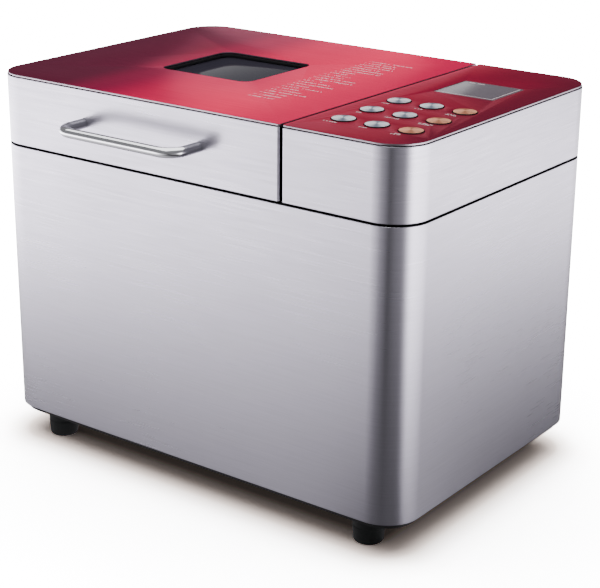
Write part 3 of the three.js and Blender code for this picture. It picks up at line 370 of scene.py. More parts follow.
def rod(
    corners: Array, bend: Array | float, radius: float, level: float, sides: int = 24, steps: int = 12
) -> Surface:
    """A round rod along a rounded path on one level.

    A point of it is the path's point plus the rod's radius times the cosine of an angle along
    the path's normal and its sine upward.

    Args:
        corners: the corners of its centre line, seen from above.
        bend: one bend radius for all corners, or one for each.
        radius: the rod's radius.
        level: height of its centre line.
        sides: points round it.
        steps: segments along each bend.

    Returns:
        The surface.
    """
    path = rounded_path(corners, bend, False, steps, 1 * MM)
    centre = path.points[:, :1] * X_AXIS + path.points[:, 1:] * Y_AXIS + level * Z_AXIS
    normal = path.normals[:, :1] * X_AXIS + path.normals[:, 1:] * Y_AXIS
    angle = np.arange(sides) * 2 * np.pi / sides
    ring = np.cos(angle)[None, :, None] * normal[:, None] + np.sin(angle)[None, :, None] * Z_AXIS
    return grid_surface(centre[:, None] + radius * ring, False, True)


def arc_profile(points: list[tuple[float, float]], radii: Array | float, closed: bool = False) -> Array:
    """A section of straights and arcs as a list of (radius, height)."""
    return rounded_path(np.array(points), radii, closed, 5, 0.15 * MM).points


def blocks_of(low: Array, high: Array, z: float, thickness: float) -> Surface:
    """Thin flat blocks on a level: the eight corners of every box between low and high.

    Args:
        low: each block's lower corner, seen from above.
        high: each block's upper corner.
        z: height of the lower faces.
        thickness: height of the blocks.

    Returns:
        The blocks as one surface.
    """
    pick = np.array([[i, j, k] for k in (0, 1) for i, j in ((0, 0), (1, 0), (1, 1), (0, 1))])
    plane = np.stack([low, high], 1)
    corners = np.stack([plane[:, pick[:, 0], 0], plane[:, pick[:, 1], 1]], -1)
    height = np.broadcast_to(z + thickness * pick[None, :, 2:], corners.shape[:2] + (1,))
    caps, sides = [[3, 2, 1, 0], [4, 5, 6, 7]], [[0, 1, 5, 4], [1, 2, 6, 5], [2, 3, 7, 6], [3, 0, 4, 7]]
    faces = np.array(caps + sides)
    quads = (np.arange(len(low))[:, None, None] * 8 + faces[None]).reshape(-1, 4)
    points = np.concatenate([corners, height], 2).reshape(-1, 3)
    return Surface(points, [quads], [points[quads][..., :2]])


def printed_rows(
    starts: Array, levels: Array, counts: Array, letter: float, z: float, random: np.random.Generator
) -> Surface:
    """Rows of small strokes that read as fine print.

    A letter is an upright stroke and a cross stroke at one of three heights, half of them with a
    second upright. Letters stand one and a third widths apart, and about one in six is a space.

    Args:
        starts: x of each row's start.
        levels: y of each row's foot.
        counts: letters in each row.
        letter: height of a letter.
        z: level of the print.
        random: the seeded generator.

    Returns:
        The strokes as thin blocks.
    """
    row = np.repeat(np.arange(len(starts)), counts)
    place = np.concatenate([np.arange(count) for count in counts])
    kept = random.random(len(row)) > 0.17
    row, place = row[kept], place[kept]
    width, pen = 0.55 * letter, 0.22 * letter
    x, y = starts[row] + place * width * 1.45, levels[row]
    rise = random.integers(0, 3, len(row)) * (letter - pen) / 2
    second = random.random(len(row)) > 0.5
    upright = np.stack([x, y], 1), np.stack([x + pen, y + letter], 1)
    cross = np.stack([x, y + rise], 1), np.stack([x + width, y + rise + pen], 1)
    other = np.stack([x + width - pen, y], 1)[second], np.stack([x + width, y + letter], 1)[second]
    low, high = (np.concatenate(ends) for ends in zip(upright, cross, other))
    return blocks_of(low, high, z, INK)


# ------------------------------------------------------------------------------ finishes
class Pattern(Enum):
    """How a finish's fine pattern lies on its surface, as scales of the three coordinates."""

    LEVEL_BRUSH = (22.0, 22.0, 900.0)
    FLAT_BRUSH = (16.0, 900.0, 16.0)
    SPUN = (2.0, 2600.0, 1.0)
    GRAIN = (900.0, 900.0, 900.0)
    CAST = (320.0, 320.0, 320.0)
    SMEAR = (40.0, 40.0, 160.0)
    EVEN = (120.0, 120.0, 120.0)


class Nodes:
    """A short way to make nodes in one tree."""

    def __init__(self, tree: bpy.types.NodeTree) -> None:
        """Keeps the tree."""
        self.tree = tree

    def new(self, kind: str, **values) -> bpy.types.Node:
        """A node with its properties set and its inputs set or linked.

        Args:
            kind: the node's type.
            values: its properties, and under inputs the value or source of each input.

        Returns:
            The node.
        """
        node = self.tree.nodes.new(kind)
        inputs = values.pop("inputs", {})
        for name, value in values.items():
            setattr(node, name, value)
        for name, value in inputs.items():
            socket = node.inputs[name]
            if isinstance(value, bpy.types.NodeSocket):
                self.tree.links.new(value, socket)
            else:
                socket.default_value = value
        return node

    def maths(self, operation: str, a: Value, b: Value = 0.0, clamp: bool = False) -> bpy.types.NodeSocket:
        """The result of one sum on two numbers or sockets."""
        made = self.new("ShaderNodeMath", operation=operation, use_clamp=clamp, inputs={0: a, 1: b})
        return made.outputs[0]

    def spread(self, value: Value, low: float, high: float) -> bpy.types.NodeSocket:
        """A value from nought to one mapped to a range."""
        made = self.new("ShaderNodeMapRange", inputs={"Value": value, "To Min": low, "To Max": high})
        return made.outputs["Result"]

    def share(self, value: Value, low: float, high: float, ease: str = "LINEAR") -> bpy.types.NodeSocket:
        """How far a value has come from a low to a high one, from nought to one."""
        inputs = {"Value": value, "From Min": low, "From Max": high}
        return self.new("ShaderNodeMapRange", interpolation_type=ease, inputs=inputs).outputs["Result"]

    def mixed(self, share: Value, first: Value, second: Value, blend: str = "MIX") -> bpy.types.NodeSocket:
        """Two colours mixed by a share."""
        inputs = {0: share, 6: first, 7: second}
        return self.new("ShaderNodeMix", data_type="RGBA", blend_type=blend, inputs=inputs).outputs[2]

    def between(self, share: Value, first: Value, second: Value) -> bpy.types.NodeSocket:
        """Two numbers mixed by a share."""
        return self.new("ShaderNodeMix", data_type="FLOAT", inputs={0: share, 2: first, 3: second}).outputs[0]

    def shader(self, share: Value, first: Value, second: Value) -> bpy.types.NodeSocket:
        """Two shaders mixed by a share."""
        return self.new("ShaderNodeMixShader", inputs={0: share, 1: first, 2: second}).outputs[0]


def shared_group(
    name: str, inputs: dict[str, tuple[str, float | tuple]], outputs: dict[str, str]
) -> tuple[bpy.types.NodeTree, Nodes, bpy.types.NodeOutputs, bpy.types.Node]:
    """A new shader node group and its ends.

    Args:
        name: the group's name.
        inputs: for each input, its socket type and starting value.
        outputs: for each output, its socket type.

    Returns:
        The group, a node maker on it, its input sockets by name and its output node.
    """
    group = bpy.data.node_groups.new(name, "ShaderNodeTree")
    for title, (kind, value) in inputs.items():
        group.interface.new_socket(title, in_out="INPUT", socket_type=kind).default_value = value
    for title, kind in outputs.items():
        group.interface.new_socket(title, in_out="OUTPUT", socket_type=kind)
    nodes = Nodes(group)
    return group, nodes, nodes.new("NodeGroupInput").outputs, nodes.new("NodeGroupOutput")


NUMBER, VECTOR = "NodeSocketFloat", "NodeSocketVector"
DUST = (0.4, 0.39, 0.37)


def surface_marks_group() -> bpy.types.NodeTree:
    """Marks of make and use: a fine pattern, broad mottling, and dust on what faces up.

    The fine value is noise on scaled coordinates, the broad one is low noise, and dust is the
    upward part of the normal, cut off below three quarters, times a noise.

    Returns:
        The group.
    """
    group, nodes, given, out = shared_group(
        "surface_marks",
        {"Vector": (VECTOR, (0, 0, 0)), "Fine Scale": (VECTOR, (1, 1, 1)), "Broad Scale": (NUMBER, 8.0)},
        {"Fine": NUMBER, "Broad": NUMBER, "Dust": NUMBER},
    )
    at = given["Vector"]
    scaled = nodes.new("ShaderNodeVectorMath", operation="MULTIPLY", inputs={0: at, 1: given["Fine Scale"]})
    fine = nodes.new("ShaderNodeTexNoise", inputs={"Vector": scaled.outputs[0], "Scale": 1.0, "Detail": 3.0})
    broad = nodes.new(
        "ShaderNodeTexNoise", inputs={"Vector": at, "Scale": given["Broad Scale"], "Detail": 4.0}
    )
    normal = nodes.new("ShaderNodeNewGeometry").outputs["Normal"]
    up = nodes.new("ShaderNodeSeparateXYZ", inputs={"Vector": normal}).outputs["Z"]
    facing = nodes.maths("MULTIPLY", nodes.maths("SUBTRACT", up, 0.75), 4.0, clamp=True)
    speck = nodes.new("ShaderNodeTexNoise", inputs={"Vector": at, "Scale": 420.0, "Detail": 2.0})
    dust = nodes.maths("MULTIPLY", facing, nodes.maths("SUBTRACT", speck.outputs["Fac"], 0.45, clamp=True))
    group.links.new(fine.outputs["Fac"], out.inputs["Fine"])
    group.links.new(broad.outputs["Fac"], out.inputs["Broad"])
    group.links.new(dust, out.inputs["Dust"])
    return group


@dataclass(frozen=True)
class Finish:
    """One finish: a base and a second colour, its gloss, its pattern and how deep that is.

    The second colour shows where the fine and broad noises are high. Roughness runs between
    two values with the same noises. The pattern's height drives a bump.
    """

    colour: Colour
    second: Colour
    metallic: float
    roughness: tuple[float, float]
    pattern: Pattern
    bump: float = 0.05
    anisotropy: float = 0.0
    coat: float = 0.0
    transmission: float = 0.0
    specular: float = 0.5
    ior: float = 1.5
    dust: float = 0.0
    edge: Colour = (1.0, 1.0, 1.0)
    # painted highlight: colour stops along x that stand in for the reflection of the lights
    painted_highlight_along_x: tuple[tuple[float, Colour], ...] = ()
    # painted reflection: dark wedges on a spun face, in place of the dark lobes of its highlight
    painted_reflection_wedge: Colour | None = None

    def material(self, name: str, marks: bpy.types.NodeTree) -> bpy.types.Material:
        """The Blender material of this finish.

        Args:
            name: its name.
            marks: the shared group of surface marks.

        Returns:
            The material.
        """
        made = bpy.data.materials.new(name)
        made.use_nodes = True
        made.diffuse_color = (*self.colour, 1.0)
        nodes = Nodes(made.node_tree)
        shader = made.node_tree.nodes["Principled BSDF"]
        place = nodes.new("ShaderNodeTexCoord").outputs["UV" if self.pattern is Pattern.SPUN else "Object"]
        scales = {"Vector": place, "Fine Scale": self.pattern.value}
        found = nodes.new("ShaderNodeGroup", node_tree=marks, inputs=scales)
        fine, broad, dust = (found.outputs[k] for k in ("Fine", "Broad", "Dust"))
        blend = nodes.maths("ADD", nodes.maths("MULTIPLY", fine, 0.55), nodes.maths("MULTIPLY", broad, 0.45))
        mask = nodes.share(blend, 0.32, 0.68)
        colour = nodes.mixed(mask, (*self.colour, 1), (*self.second, 1))
        # painted highlight: the colour is multiplied by a ramp along x in place of reflected light
        if self.painted_highlight_along_x:
            colour = self.painted_highlight_by_x(nodes, place, colour)
        if self.painted_reflection_wedge:
            # painted reflection: two dark wedges on the spun caps
            colour = self.spun(nodes, place, colour)
        if self.dust:
            colour = nodes.mixed(nodes.maths("MULTIPLY", dust, self.dust), colour, (*DUST, 1))
        relief = {"Strength": self.bump, "Distance": 0.05 * MM, "Height": fine}
        height = nodes.new("ShaderNodeBump", inputs=relief).outputs["Normal"]
        links = {"Base Color": colour, "Roughness": nodes.spread(mask, *self.roughness), "Normal": height}
        for title, socket in links.items():
            made.node_tree.links.new(socket, shader.inputs[title])
        fixed = {
            "Metallic": self.metallic,
            "Anisotropic": self.anisotropy,
            "Coat Weight": self.coat,
            "Coat Roughness": 0.08,
            "Transmission Weight": self.transmission,
            "Specular IOR Level": self.specular,
            "IOR": self.ior,
            "Specular Tint": (*self.edge, 1.0),
        }
        for title, value in fixed.items():
            shader.inputs[title].default_value = value
        if self.anisotropy:
            shader.inputs["Anisotropic Rotation"].default_value = 0.25
            tangent = nodes.new("ShaderNodeTangent", direction_type="UV_MAP", uv_map="UVMap")
            made.node_tree.links.new(tangent.outputs[0], shader.inputs["Tangent"])
        return made

    def spun(
        self, nodes: Nodes, place: bpy.types.NodeSocket, colour: bpy.types.NodeSocket,
        radius: float = 10.6 * MM, across: float = 1.95,
    ) -> bpy.types.NodeSocket:
        """A colour that darkens in two opposite wedges of a spun face: a painted reflection that stands in
        for the dark lobes of spun metal's highlight.

        The map's u is the running length round the rim, so u over the rim's radius is the angle.
        The darkening is the cube of the cosine of the angle from the wedges' own.

        Args:
            nodes: the material's nodes.
            place: the piece's map.
            colour: the colour between the wedges.
            radius: radius of the widest ring of the piece, where the map's u is measured.
            across: angle of the wedges, in radians.

        Returns:
            The colour.
        """
        u = nodes.new("ShaderNodeSeparateXYZ", inputs={"Vector": place}).outputs["X"]
        angle = nodes.maths("SUBTRACT", nodes.maths("DIVIDE", u, radius), across)
        cosine = nodes.maths("ABSOLUTE", nodes.maths("COSINE", angle))
        share = nodes.maths("MULTIPLY", nodes.maths("POWER", cosine, 3.0), 0.95)
        return nodes.mixed(share, colour, (*self.painted_reflection_wedge, 1))

    def painted_highlight_by_x(
        self, nodes: Nodes, place: bpy.types.NodeSocket, colour: bpy.types.NodeSocket
    ) -> bpy.types.NodeSocket:
        """A colour multiplied by a painted highlight that changes with x: a painted reflection, dark at the
        left, bright in the middle and dark again over the control panel.

        Args:
            nodes: the material's nodes.
            place: the object's coordinates.
            colour: the colour below the painted highlight.

        Returns:
            The colour.
        """
        x = nodes.new("ShaderNodeSeparateXYZ", inputs={"Vector": place}).outputs["X"]
        first, last = self.painted_highlight_along_x[0][0], self.painted_highlight_along_x[-1][0]
        ramp = nodes.new("ShaderNodeValToRGB", inputs={"Fac": nodes.share(x, first, last)})
        ramp.color_ramp.interpolation = "EASE"
        for at, tone in self.painted_highlight_along_x[1:-1]:
            ramp.color_ramp.elements.new((at - first) / (last - first)).color = (*tone, 1)
        ramp.color_ramp.elements[0].color = (*self.painted_highlight_along_x[0][1], 1)
        ramp.color_ramp.elements[-1].color = (*self.painted_highlight_along_x[-1][1], 1)
        return nodes.mixed(1.0, colour, ramp.outputs["Color"], "MULTIPLY")


FINISHES: dict[str, Finish] = {
    "casing_steel": Finish(
        (0.615, 0.588, 0.675), (0.555, 0.531, 0.61), 1.0, (0.26, 0.33), Pattern.LEVEL_BRUSH, 0.04,
        anisotropy=0.75,
    ),
    "red_plate": Finish(
        (1.0, 1.0, 1.0), (0.86, 0.84, 0.86), 0.6, (0.30, 0.36), Pattern.FLAT_BRUSH, 0.10, anisotropy=0.8,
        specular=0.03, edge=(1.0, 0.12, 0.32),
        # painted highlight: dark at the left, bright in the middle, dark again over the control panel
        painted_highlight_along_x=(
            (-0.2, (0.12, 0.026, 0.056)), (-0.125, (0.12, 0.022, 0.052)), (-0.09, (0.28, 0.020, 0.070)),
            (-0.04, (0.66, 0.012, 0.092)), (0.02, (0.78, 0.012, 0.100)), (0.084, (0.56, 0.010, 0.080)),
            (0.095, (0.22, 0.008, 0.038)), (0.14, (0.17, 0.010, 0.034)), (0.2, (0.09, 0.012, 0.030)),
        ),
    ),
    "button_silver": Finish(
        (0.95, 0.97, 1.0), (0.80, 0.82, 0.87), 0.55, (0.34, 0.42), Pattern.SPUN, 0.05, anisotropy=1.0,
        # wedge colour: painted reflection, the dark lobes of the silver caps' highlight
        specular=0.1, edge=(0.5, 0.5, 0.52), painted_reflection_wedge=(0.06, 0.075, 0.11)
    ),
    "button_copper": Finish(
        (0.95, 0.46, 0.27), (0.80, 0.38, 0.22), 0.55, (0.34, 0.42), Pattern.SPUN, 0.05, anisotropy=1.0,
        # wedge colour: painted reflection, the dark lobes of the copper caps' highlight
        specular=0.1, edge=(0.6, 0.4, 0.34), painted_reflection_wedge=(0.20, 0.075, 0.045)
    ),
    "polished_chrome": Finish((0.80, 0.80, 0.83), (0.75, 0.75, 0.78), 1.0, (0.07, 0.14), Pattern.SMEAR, 0.01),
    "black_plastic": Finish(
        (0.010, 0.010, 0.012), (0.018, 0.018, 0.020), 0.0, (0.42, 0.58), Pattern.GRAIN, 0.25, dust=0.3
    ),
    "foot_rubber": Finish((0.006, 0.008, 0.008), (0.012, 0.014, 0.014), 0.0, (0.5, 0.7), Pattern.GRAIN, 0.3),
    "plated_steel": Finish((0.52, 0.52, 0.50), (0.42, 0.42, 0.40), 1.0, (0.28, 0.42), Pattern.SMEAR, 0.1),
    "oven_steel": Finish((0.40, 0.40, 0.41), (0.31, 0.31, 0.32), 1.0, (0.34, 0.5), Pattern.SMEAR, 0.15),
    "element_steel": Finish((0.10, 0.095, 0.10), (0.16, 0.13, 0.12), 0.9, (0.4, 0.6), Pattern.CAST, 0.3),
    "cast_aluminium": Finish((0.48, 0.48, 0.50), (0.38, 0.38, 0.40), 1.0, (0.45, 0.62), Pattern.CAST, 0.5),
    "circuit_board": Finish((0.015, 0.10, 0.05), (0.03, 0.15, 0.08), 0.0, (0.3, 0.45), Pattern.EVEN, 0.1),
    "white_plastic": Finish(
        (0.70, 0.69, 0.65), (0.63, 0.62, 0.58), 0.0, (0.4, 0.55), Pattern.GRAIN, 0.15, dust=0.3
    ),
    "belt_rubber": Finish((0.012, 0.012, 0.012), (0.02, 0.02, 0.02), 0.0, (0.6, 0.8), Pattern.GRAIN, 0.3),
    "display_glass": Finish(
        (0.105, 0.088, 0.105), (0.095, 0.08, 0.096), 0.0, (0.16, 0.22), Pattern.EVEN, 0.0, ior=1.1
    ),
    "window_glass": Finish(
        (0.034, 0.031, 0.044), (0.031, 0.028, 0.040), 0.0, (0.05, 0.09), Pattern.EVEN, 0.0,
        transmission=0.3, ior=1.03,
    ),
    "hinge_black": Finish((0.012, 0.012, 0.014), (0.02, 0.02, 0.022), 0.3, (0.4, 0.55), Pattern.GRAIN, 0.3),
    "seal_silicone": Finish(
        (0.22, 0.22, 0.23), (0.17, 0.17, 0.18), 0.0, (0.55, 0.7), Pattern.GRAIN, 0.2, dust=0.4
    ),
    "shaft_steel": Finish((0.50, 0.50, 0.51), (0.42, 0.42, 0.43), 1.0, (0.2, 0.32), Pattern.SPUN, 0.05),
    "non_stick": Finish((0.045, 0.046, 0.05), (0.065, 0.066, 0.07), 0.5, (0.32, 0.46), Pattern.CAST, 0.25),
}
PRINT_WHITE = Finish((0.95, 0.78, 0.80), (0.85, 0.68, 0.70), 0.0, (0.4, 0.5), Pattern.EVEN, 0.0)
CUT_EDGE = Finish(
    (0.42, 0.36, 0.40), (0.34, 0.29, 0.33), 1.0, (0.3, 0.4), Pattern.SMEAR, 0.05, edge=(0.6, 0.55, 0.6)
)


# ------------------------------------------------------------------------------ workshop
class Workshop:
    """Puts finished pieces into the scene on the right body, in the right slot and finish."""

    def __init__(self, frame: dict) -> None:
        """Reads each node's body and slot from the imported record."""
        record = frame["record"]
        self.nodes = frame["nodes"]
        self.slots = {p["node"]: p["material_slot"] for p in record["subparts"]}
        self.bodies = {n: body for body, names in record["behaviour"]["bodies"].items() for n in names}
        self.marks = surface_marks_group()
        self.materials: dict[str, bpy.types.Material] = {}
        self.done: set[str] = set()

    def finish(self, slot: str) -> bpy.types.Material:
        """The material of a slot, made at its first use."""
        if slot not in self.materials:
            self.materials[slot] = FINISHES[slot].material(slot, self.marks)
        return self.materials[slot]

    def extra(self, name: str, finish: Finish) -> bpy.types.Material:
        """A material that isn't a slot's own, made at its first use.

        Args:
            name: its name.
            finish: its finish.

        Returns:
            The material.
        """
        if name not in self.materials:
            self.materials[name] = finish.material(name, self.marks)
        return self.materials[name]

    def dress(
        self, piece: bpy.types.Object, node: str, stands: bool, material: bpy.types.Material | None = None
    ) -> bpy.types.Object:
        """Gives a piece its node's body, slot and finish.

        Args:
            piece: the object.
            node: the CAD node that it belongs to.
            stands: whether it replaces the node.
            material: a finish other than the slot's.

        Returns:
            The object.
        """
        piece.data.materials.clear()
        piece.data.materials.append(material or self.finish(self.slots[node]))
        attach(piece, self.bodies[node])
        if stands:
            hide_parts(node)
            self.done.add(node)
        LOG.info("%s on %s", piece.name, self.bodies[node])
        return piece

    def place(
        self, name: str, surface: Surface, node: str, stands: bool = True,
        material: bpy.types.Material | None = None, sharp: float = 32.0,
    ) -> bpy.types.Object:
        """Makes a surface an object that rides with a node.

        Args:
            name: the piece's name.
            surface: its surface.
            node: the CAD node that it stands for or belongs to.
            stands: whether it replaces the node.
            material: a finish other than the slot's.
            sharp: edges that turn by more degrees than this stay sharp.

        Returns:
            The object.
        """
        mesh = bpy.data.meshes.new(name)
        sizes = np.concatenate([np.full(len(b), b.shape[1]) for b in surface.blocks])
        loops = np.concatenate([b.ravel() for b in surface.blocks]).astype(np.int32)
        mesh.vertices.add(len(surface.points))
        mesh.vertices.foreach_set("co", surface.points.astype(np.float32).ravel())
        mesh.loops.add(len(loops))
        mesh.loops.foreach_set("vertex_index", loops)
        mesh.polygons.add(len(sizes))
        mesh.polygons.foreach_set("loop_start", (np.cumsum(sizes) - sizes).astype(np.int32))
        layer = mesh.uv_layers.new(name="UVMap")
        maps = np.concatenate([m.reshape(-1, 2) for m in surface.maps])
        layer.data.foreach_set("uv", maps.astype(np.float32).ravel())
        mesh.update(calc_edges=True)
        mesh.validate()
        self.shade(mesh, sharp)
        return self.dress(linked(name, mesh), node, stands, material)

    @staticmethod
    def walls(piece: bpy.types.Object, material: bpy.types.Material, reach: float = 0.5) -> None:
        """Gives the upright faces of a piece a second material.

        Args:
            piece: the object.
            material: the second material.
            reach: faces whose normal's upward part is smaller than this are upright.
        """
        mesh = piece.data
        mesh.materials.append(material)
        normals = np.zeros(len(mesh.polygons) * 3, np.float32)
        mesh.polygons.foreach_get("normal", normals)
        upright = np.abs(normals.reshape(-1, 3)[:, 2]) < reach
        index = np.zeros(len(mesh.polygons), np.int32)
        mesh.polygons.foreach_get("material_index", index)
        index = np.where(upright, len(mesh.materials) - 1, index).astype(np.int32)
        mesh.polygons.foreach_set("material_index", index)
        mesh.update()

    @staticmethod
    def shade(mesh: bpy.types.Mesh, sharp: float) -> None:
        """Smooth shading that stops at edges sharper than an angle in degrees."""
        mesh.polygons.foreach_set("use_smooth", np.ones(len(mesh.polygons), bool))
        mesh.set_sharp_from_angle(angle=math.radians(sharp))

    def refine(self, node: str, bevel: float = 0.4 * MM) -> bpy.types.Object:
        """A merged copy of a CAD node with softened edges, which stands for it.

        Args:
            node: the CAD node.
            bevel: width of the softened edges.

        Returns:
            The object.
        """
        build = bmesh.new()
        build.from_mesh(self.nodes[node].data)
        bmesh.ops.remove_doubles(build, verts=build.verts, dist=1e-6)
        bmesh.ops.dissolve_limit(build, angle_limit=0.002, verts=build.verts, edges=build.edges)
        mesh = bpy.data.meshes.new(node + "_finished")
        build.to_mesh(mesh)
        build.free()
        piece = linked(mesh.name, mesh)
        soften = piece.modifiers.new("edges", "BEVEL")
        soften.width, soften.segments, soften.limit_method = bevel, 2, "ANGLE"
        soften.angle_limit = math.radians(40)
        self.bake_modifiers(piece)
        self.shade(piece.data, 32.0)
        self.flat_map(piece.data)
        return self.dress(piece, node, True)

    @staticmethod
    def flat_map(mesh: bpy.types.Mesh) -> None:
        """A plain map on a mesh: x plus z across and y up, for directions only.

        Args:
            mesh: the mesh.
        """
        if not mesh.uv_layers:
            mesh.uv_layers.new(name="UVMap")
        index = np.zeros(len(mesh.loops), np.int32)
        mesh.loops.foreach_get("vertex_index", index)
        points = np.zeros(len(mesh.vertices) * 3, np.float32)
        mesh.vertices.foreach_get("co", points)
        at = points.reshape(-1, 3)[index]
        mesh.uv_layers[0].data.foreach_set("uv", np.stack([at[:, 0] + at[:, 2], at[:, 1]], -1).ravel())

    @staticmethod
    def bake_modifiers(piece: bpy.types.Object) -> None:
        """Applies a piece's modifiers to its mesh.

        Args:
            piece: the object.
        """
        bpy.context.view_layer.update()
        evaluated = piece.evaluated_get(bpy.context.evaluated_depsgraph_get())
        mesh = bpy.data.meshes.new_from_object(evaluated)
        piece.modifiers.clear()
        piece.data = mesh

    def cut(self, piece: bpy.types.Object, cutters: list[Surface]) -> None:
        """Cuts closed surfaces out of a piece, and shades it again.

        Args:
            piece: the object.
            cutters: the surfaces.
        """
        for k, cutter in enumerate(cutters):
            tool_mesh = bpy.data.meshes.new(f"cutter_{k}")
            faces = [row.tolist() for block in cutter.blocks for row in block]
            tool_mesh.from_pydata(cutter.points.tolist(), [], faces)
            tool = linked(tool_mesh.name, tool_mesh)
            change = piece.modifiers.new("hole", "BOOLEAN")
            change.object, change.operation, change.solver = tool, "DIFFERENCE", "EXACT"
            self.bake_modifiers(piece)
            bpy.data.objects.remove(tool)
        self.shade(piece.data, 32.0)


def corners_of(node: str) -> tuple[Array, Array]:
    """A node's lowest and highest corner as arrays."""
    low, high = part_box(node)
    return np.array(low), np.array(high)


# ------------------------------------------------------------------------------ casing
@dataclass
class Casing:
    """The lower casing with its feet, base, deck, hinges, vents and cord inlet."""

    shop: Workshop
    corner: float = 27 * MM
    sheet: float = 1 * MM
    roll: float = 0.42 * MM
    vent_count: int = 9
    vent_pitch: float = 7 * MM
    vent_width: float = 3 * MM
    vent_height: float = 34 * MM
    vent_lift: float = 54 * MM
    vent_in: float = 35 * MM
    foot_radius: float = 11 * MM
    foot_top: float = 13 * MM
    foot_edge: float = 2 * MM
    inlet_hole: float = 7.3 * MM
    inlet_tube: float = 7 * MM
    inlet_bore: float = 3.5 * MM
    inlet_grip: float = 2.7 * MM
    leaf_proud: float = 2.3 * MM
    screw_radius: float = 3 * MM
    screw_from_side: float = 9 * MM
    screw_from_end: float = 8 * MM

    def outline(self) -> Path:
        """The casing's outline."""
        low, high = corners_of("body_shell")
        return rounded_rectangle(low[:2], high[:2], self.corner, 20)

    def build(self) -> None:
        """Makes every piece of the casing."""
        self.build_shell()
        self.build_feet()
        self.build_inlet()
        for node in ("base_plate", "top_deck", "chassis_plate"):
            self.shop.refine(node, 0.5 * MM)
        for side in ("left", "right"):
            self.build_hinge(side)

    def build_shell(self) -> None:
        """The wrapped steel sheet with rolled edges, cut for the vents and the cord inlet."""
        low, high = corners_of("body_shell")
        profile = sheet_profile(low[2], high[2], self.sheet, self.roll)
        shell = self.shop.place("casing_shell", swept(self.outline(), profile), "body_shell")
        middle = high[0] - self.corner - self.vent_in
        slots = []
        for k in range(self.vent_count):
            x = middle + (k - (self.vent_count - 1) / 2) * self.vent_pitch
            half, z = self.vent_width / 2, low[2] + self.vent_lift
            path = rounded_rectangle((x - half, z), (x + half, z + self.vent_height), half * 0.98, 6)
            grid = [
                np.stack([path.points[:, 0], np.full(len(path.points), y), path.points[:, 1]], 1)
                for y in (high[1] - 3 * self.sheet, high[1] + self.sheet)
            ]
            slots.append(grid_surface(np.stack(grid), False, True))
        inlet_low, inlet_high = corners_of("cord_inlet")
        centre = (inlet_low + inlet_high) / 2
        centre[1] = high[1]
        core, edge = 0.5 * MM, self.inlet_hole
        through = np.array([(core, -3 * MM), (edge, -3 * MM), (edge, 1 * MM), (core, 1 * MM)])
        slots.append(turned(through, centre, 40, Y_AXIS))
        self.shop.cut(shell, slots)

    def build_feet(self) -> None:
        """Four turned feet with a rounded tread edge and a waist line."""
        for place in ("front_left", "front_right", "rear_left", "rear_right"):
            low, high = corners_of("foot_" + place)
            centre = (low + high) / 2
            centre[2] = 0.0
            top = high[2]
            points = [
                (0.3 * MM, 0.6 * MM), (4 * MM, 0.6 * MM), (4.6 * MM, 0), (self.foot_radius, 0),
                (self.foot_radius + 0.9 * MM, top * 0.55), (self.foot_radius + 0.5 * MM, top * 0.6),
                (self.foot_top, top), (0.3 * MM, top),
            ]
            radii = [0, 0.3 * MM, 0.3 * MM, self.foot_edge, 0.3 * MM, 0.3 * MM, 0.5 * MM, 0]
            foot = turned(arc_profile(points, radii), centre)
            self.shop.place("rubber_foot_" + place, foot, "foot_" + place)

    def build_inlet(self) -> None:
        """The cord inlet: a round bush with a flanged, domed collar."""
        low, high = corners_of("cord_inlet")
        centre = (low + high) / 2
        centre[1] = high[1]
        outer, bore, tube, depth = (high[0] - low[0]) / 2, self.inlet_bore, self.inlet_tube, high[1] - low[1]
        back = 4 * MM + self.inlet_grip - depth
        points = [
            (bore, 0), (outer, 0), (outer, -3 * MM), (tube, -3 * MM), (tube, back), (outer, back),
            (outer, -depth), (bore, -depth),
        ]
        radii = [1.2 * MM, 1.2 * MM, 0.4 * MM, 0.3 * MM, 0.3 * MM, 0.4 * MM, 0.8 * MM, 0.8 * MM]
        profile = arc_profile(points, radii, True)
        self.shop.place("cord_bush", turned(profile, centre, 48, Y_AXIS, True), "cord_inlet")

    def build_hinge(self, side: str) -> None:
        """One hinge: its leaves with softened edges, screw heads, and a pin with domed ends.

        Args:
            side: left or right.
        """
        low, high = corners_of("hinge_pin_" + side)
        centre, radius, half = (low + high) / 2, (high[2] - low[2]) / 2, (high[0] - low[0]) / 2
        points = [(0.1 * MM, -half), (radius, -half), (radius, half), (0.1 * MM, half)]
        radii = [0, 0.8 * MM, 0.8 * MM, 0]
        pin = turned(arc_profile(points, radii), centre, 32, X_AXIS)
        self.shop.place("hinge_rod_" + side, pin, "hinge_pin_" + side)
        core, r = 0.1 * MM, self.screw_radius
        dome = [(core, -0.2 * MM), (r, -0.2 * MM), (r, 0.5 * MM), (0.6 * r, 1.2 * MM), (core, 1.4 * MM)]
        head = arc_profile(dome, [0, 0.05 * MM, 0.3 * MM, 0.6 * MM, 0])
        for part in ("lid", "body"):
            node = f"hinge_leaf_{part}_{side}"
            self.shop.refine(node, 0.5 * MM)
            low, high = corners_of(node)
            level = high[2] - self.screw_from_end if part == "lid" else low[2] + self.screw_from_end
            face = corners_of("body_shell")[1][1] + self.leaf_proud
            across = (low[0] + self.screw_from_side, high[0] - self.screw_from_side)
            heads = [turned(head, (x, face, level), 28, Y_AXIS) for x in across]
            screws = self.shop.extra("screw_steel", FINISHES["plated_steel"])
            self.shop.place(f"hinge_screws_{part}_{side}", merged(heads), node, False, screws)


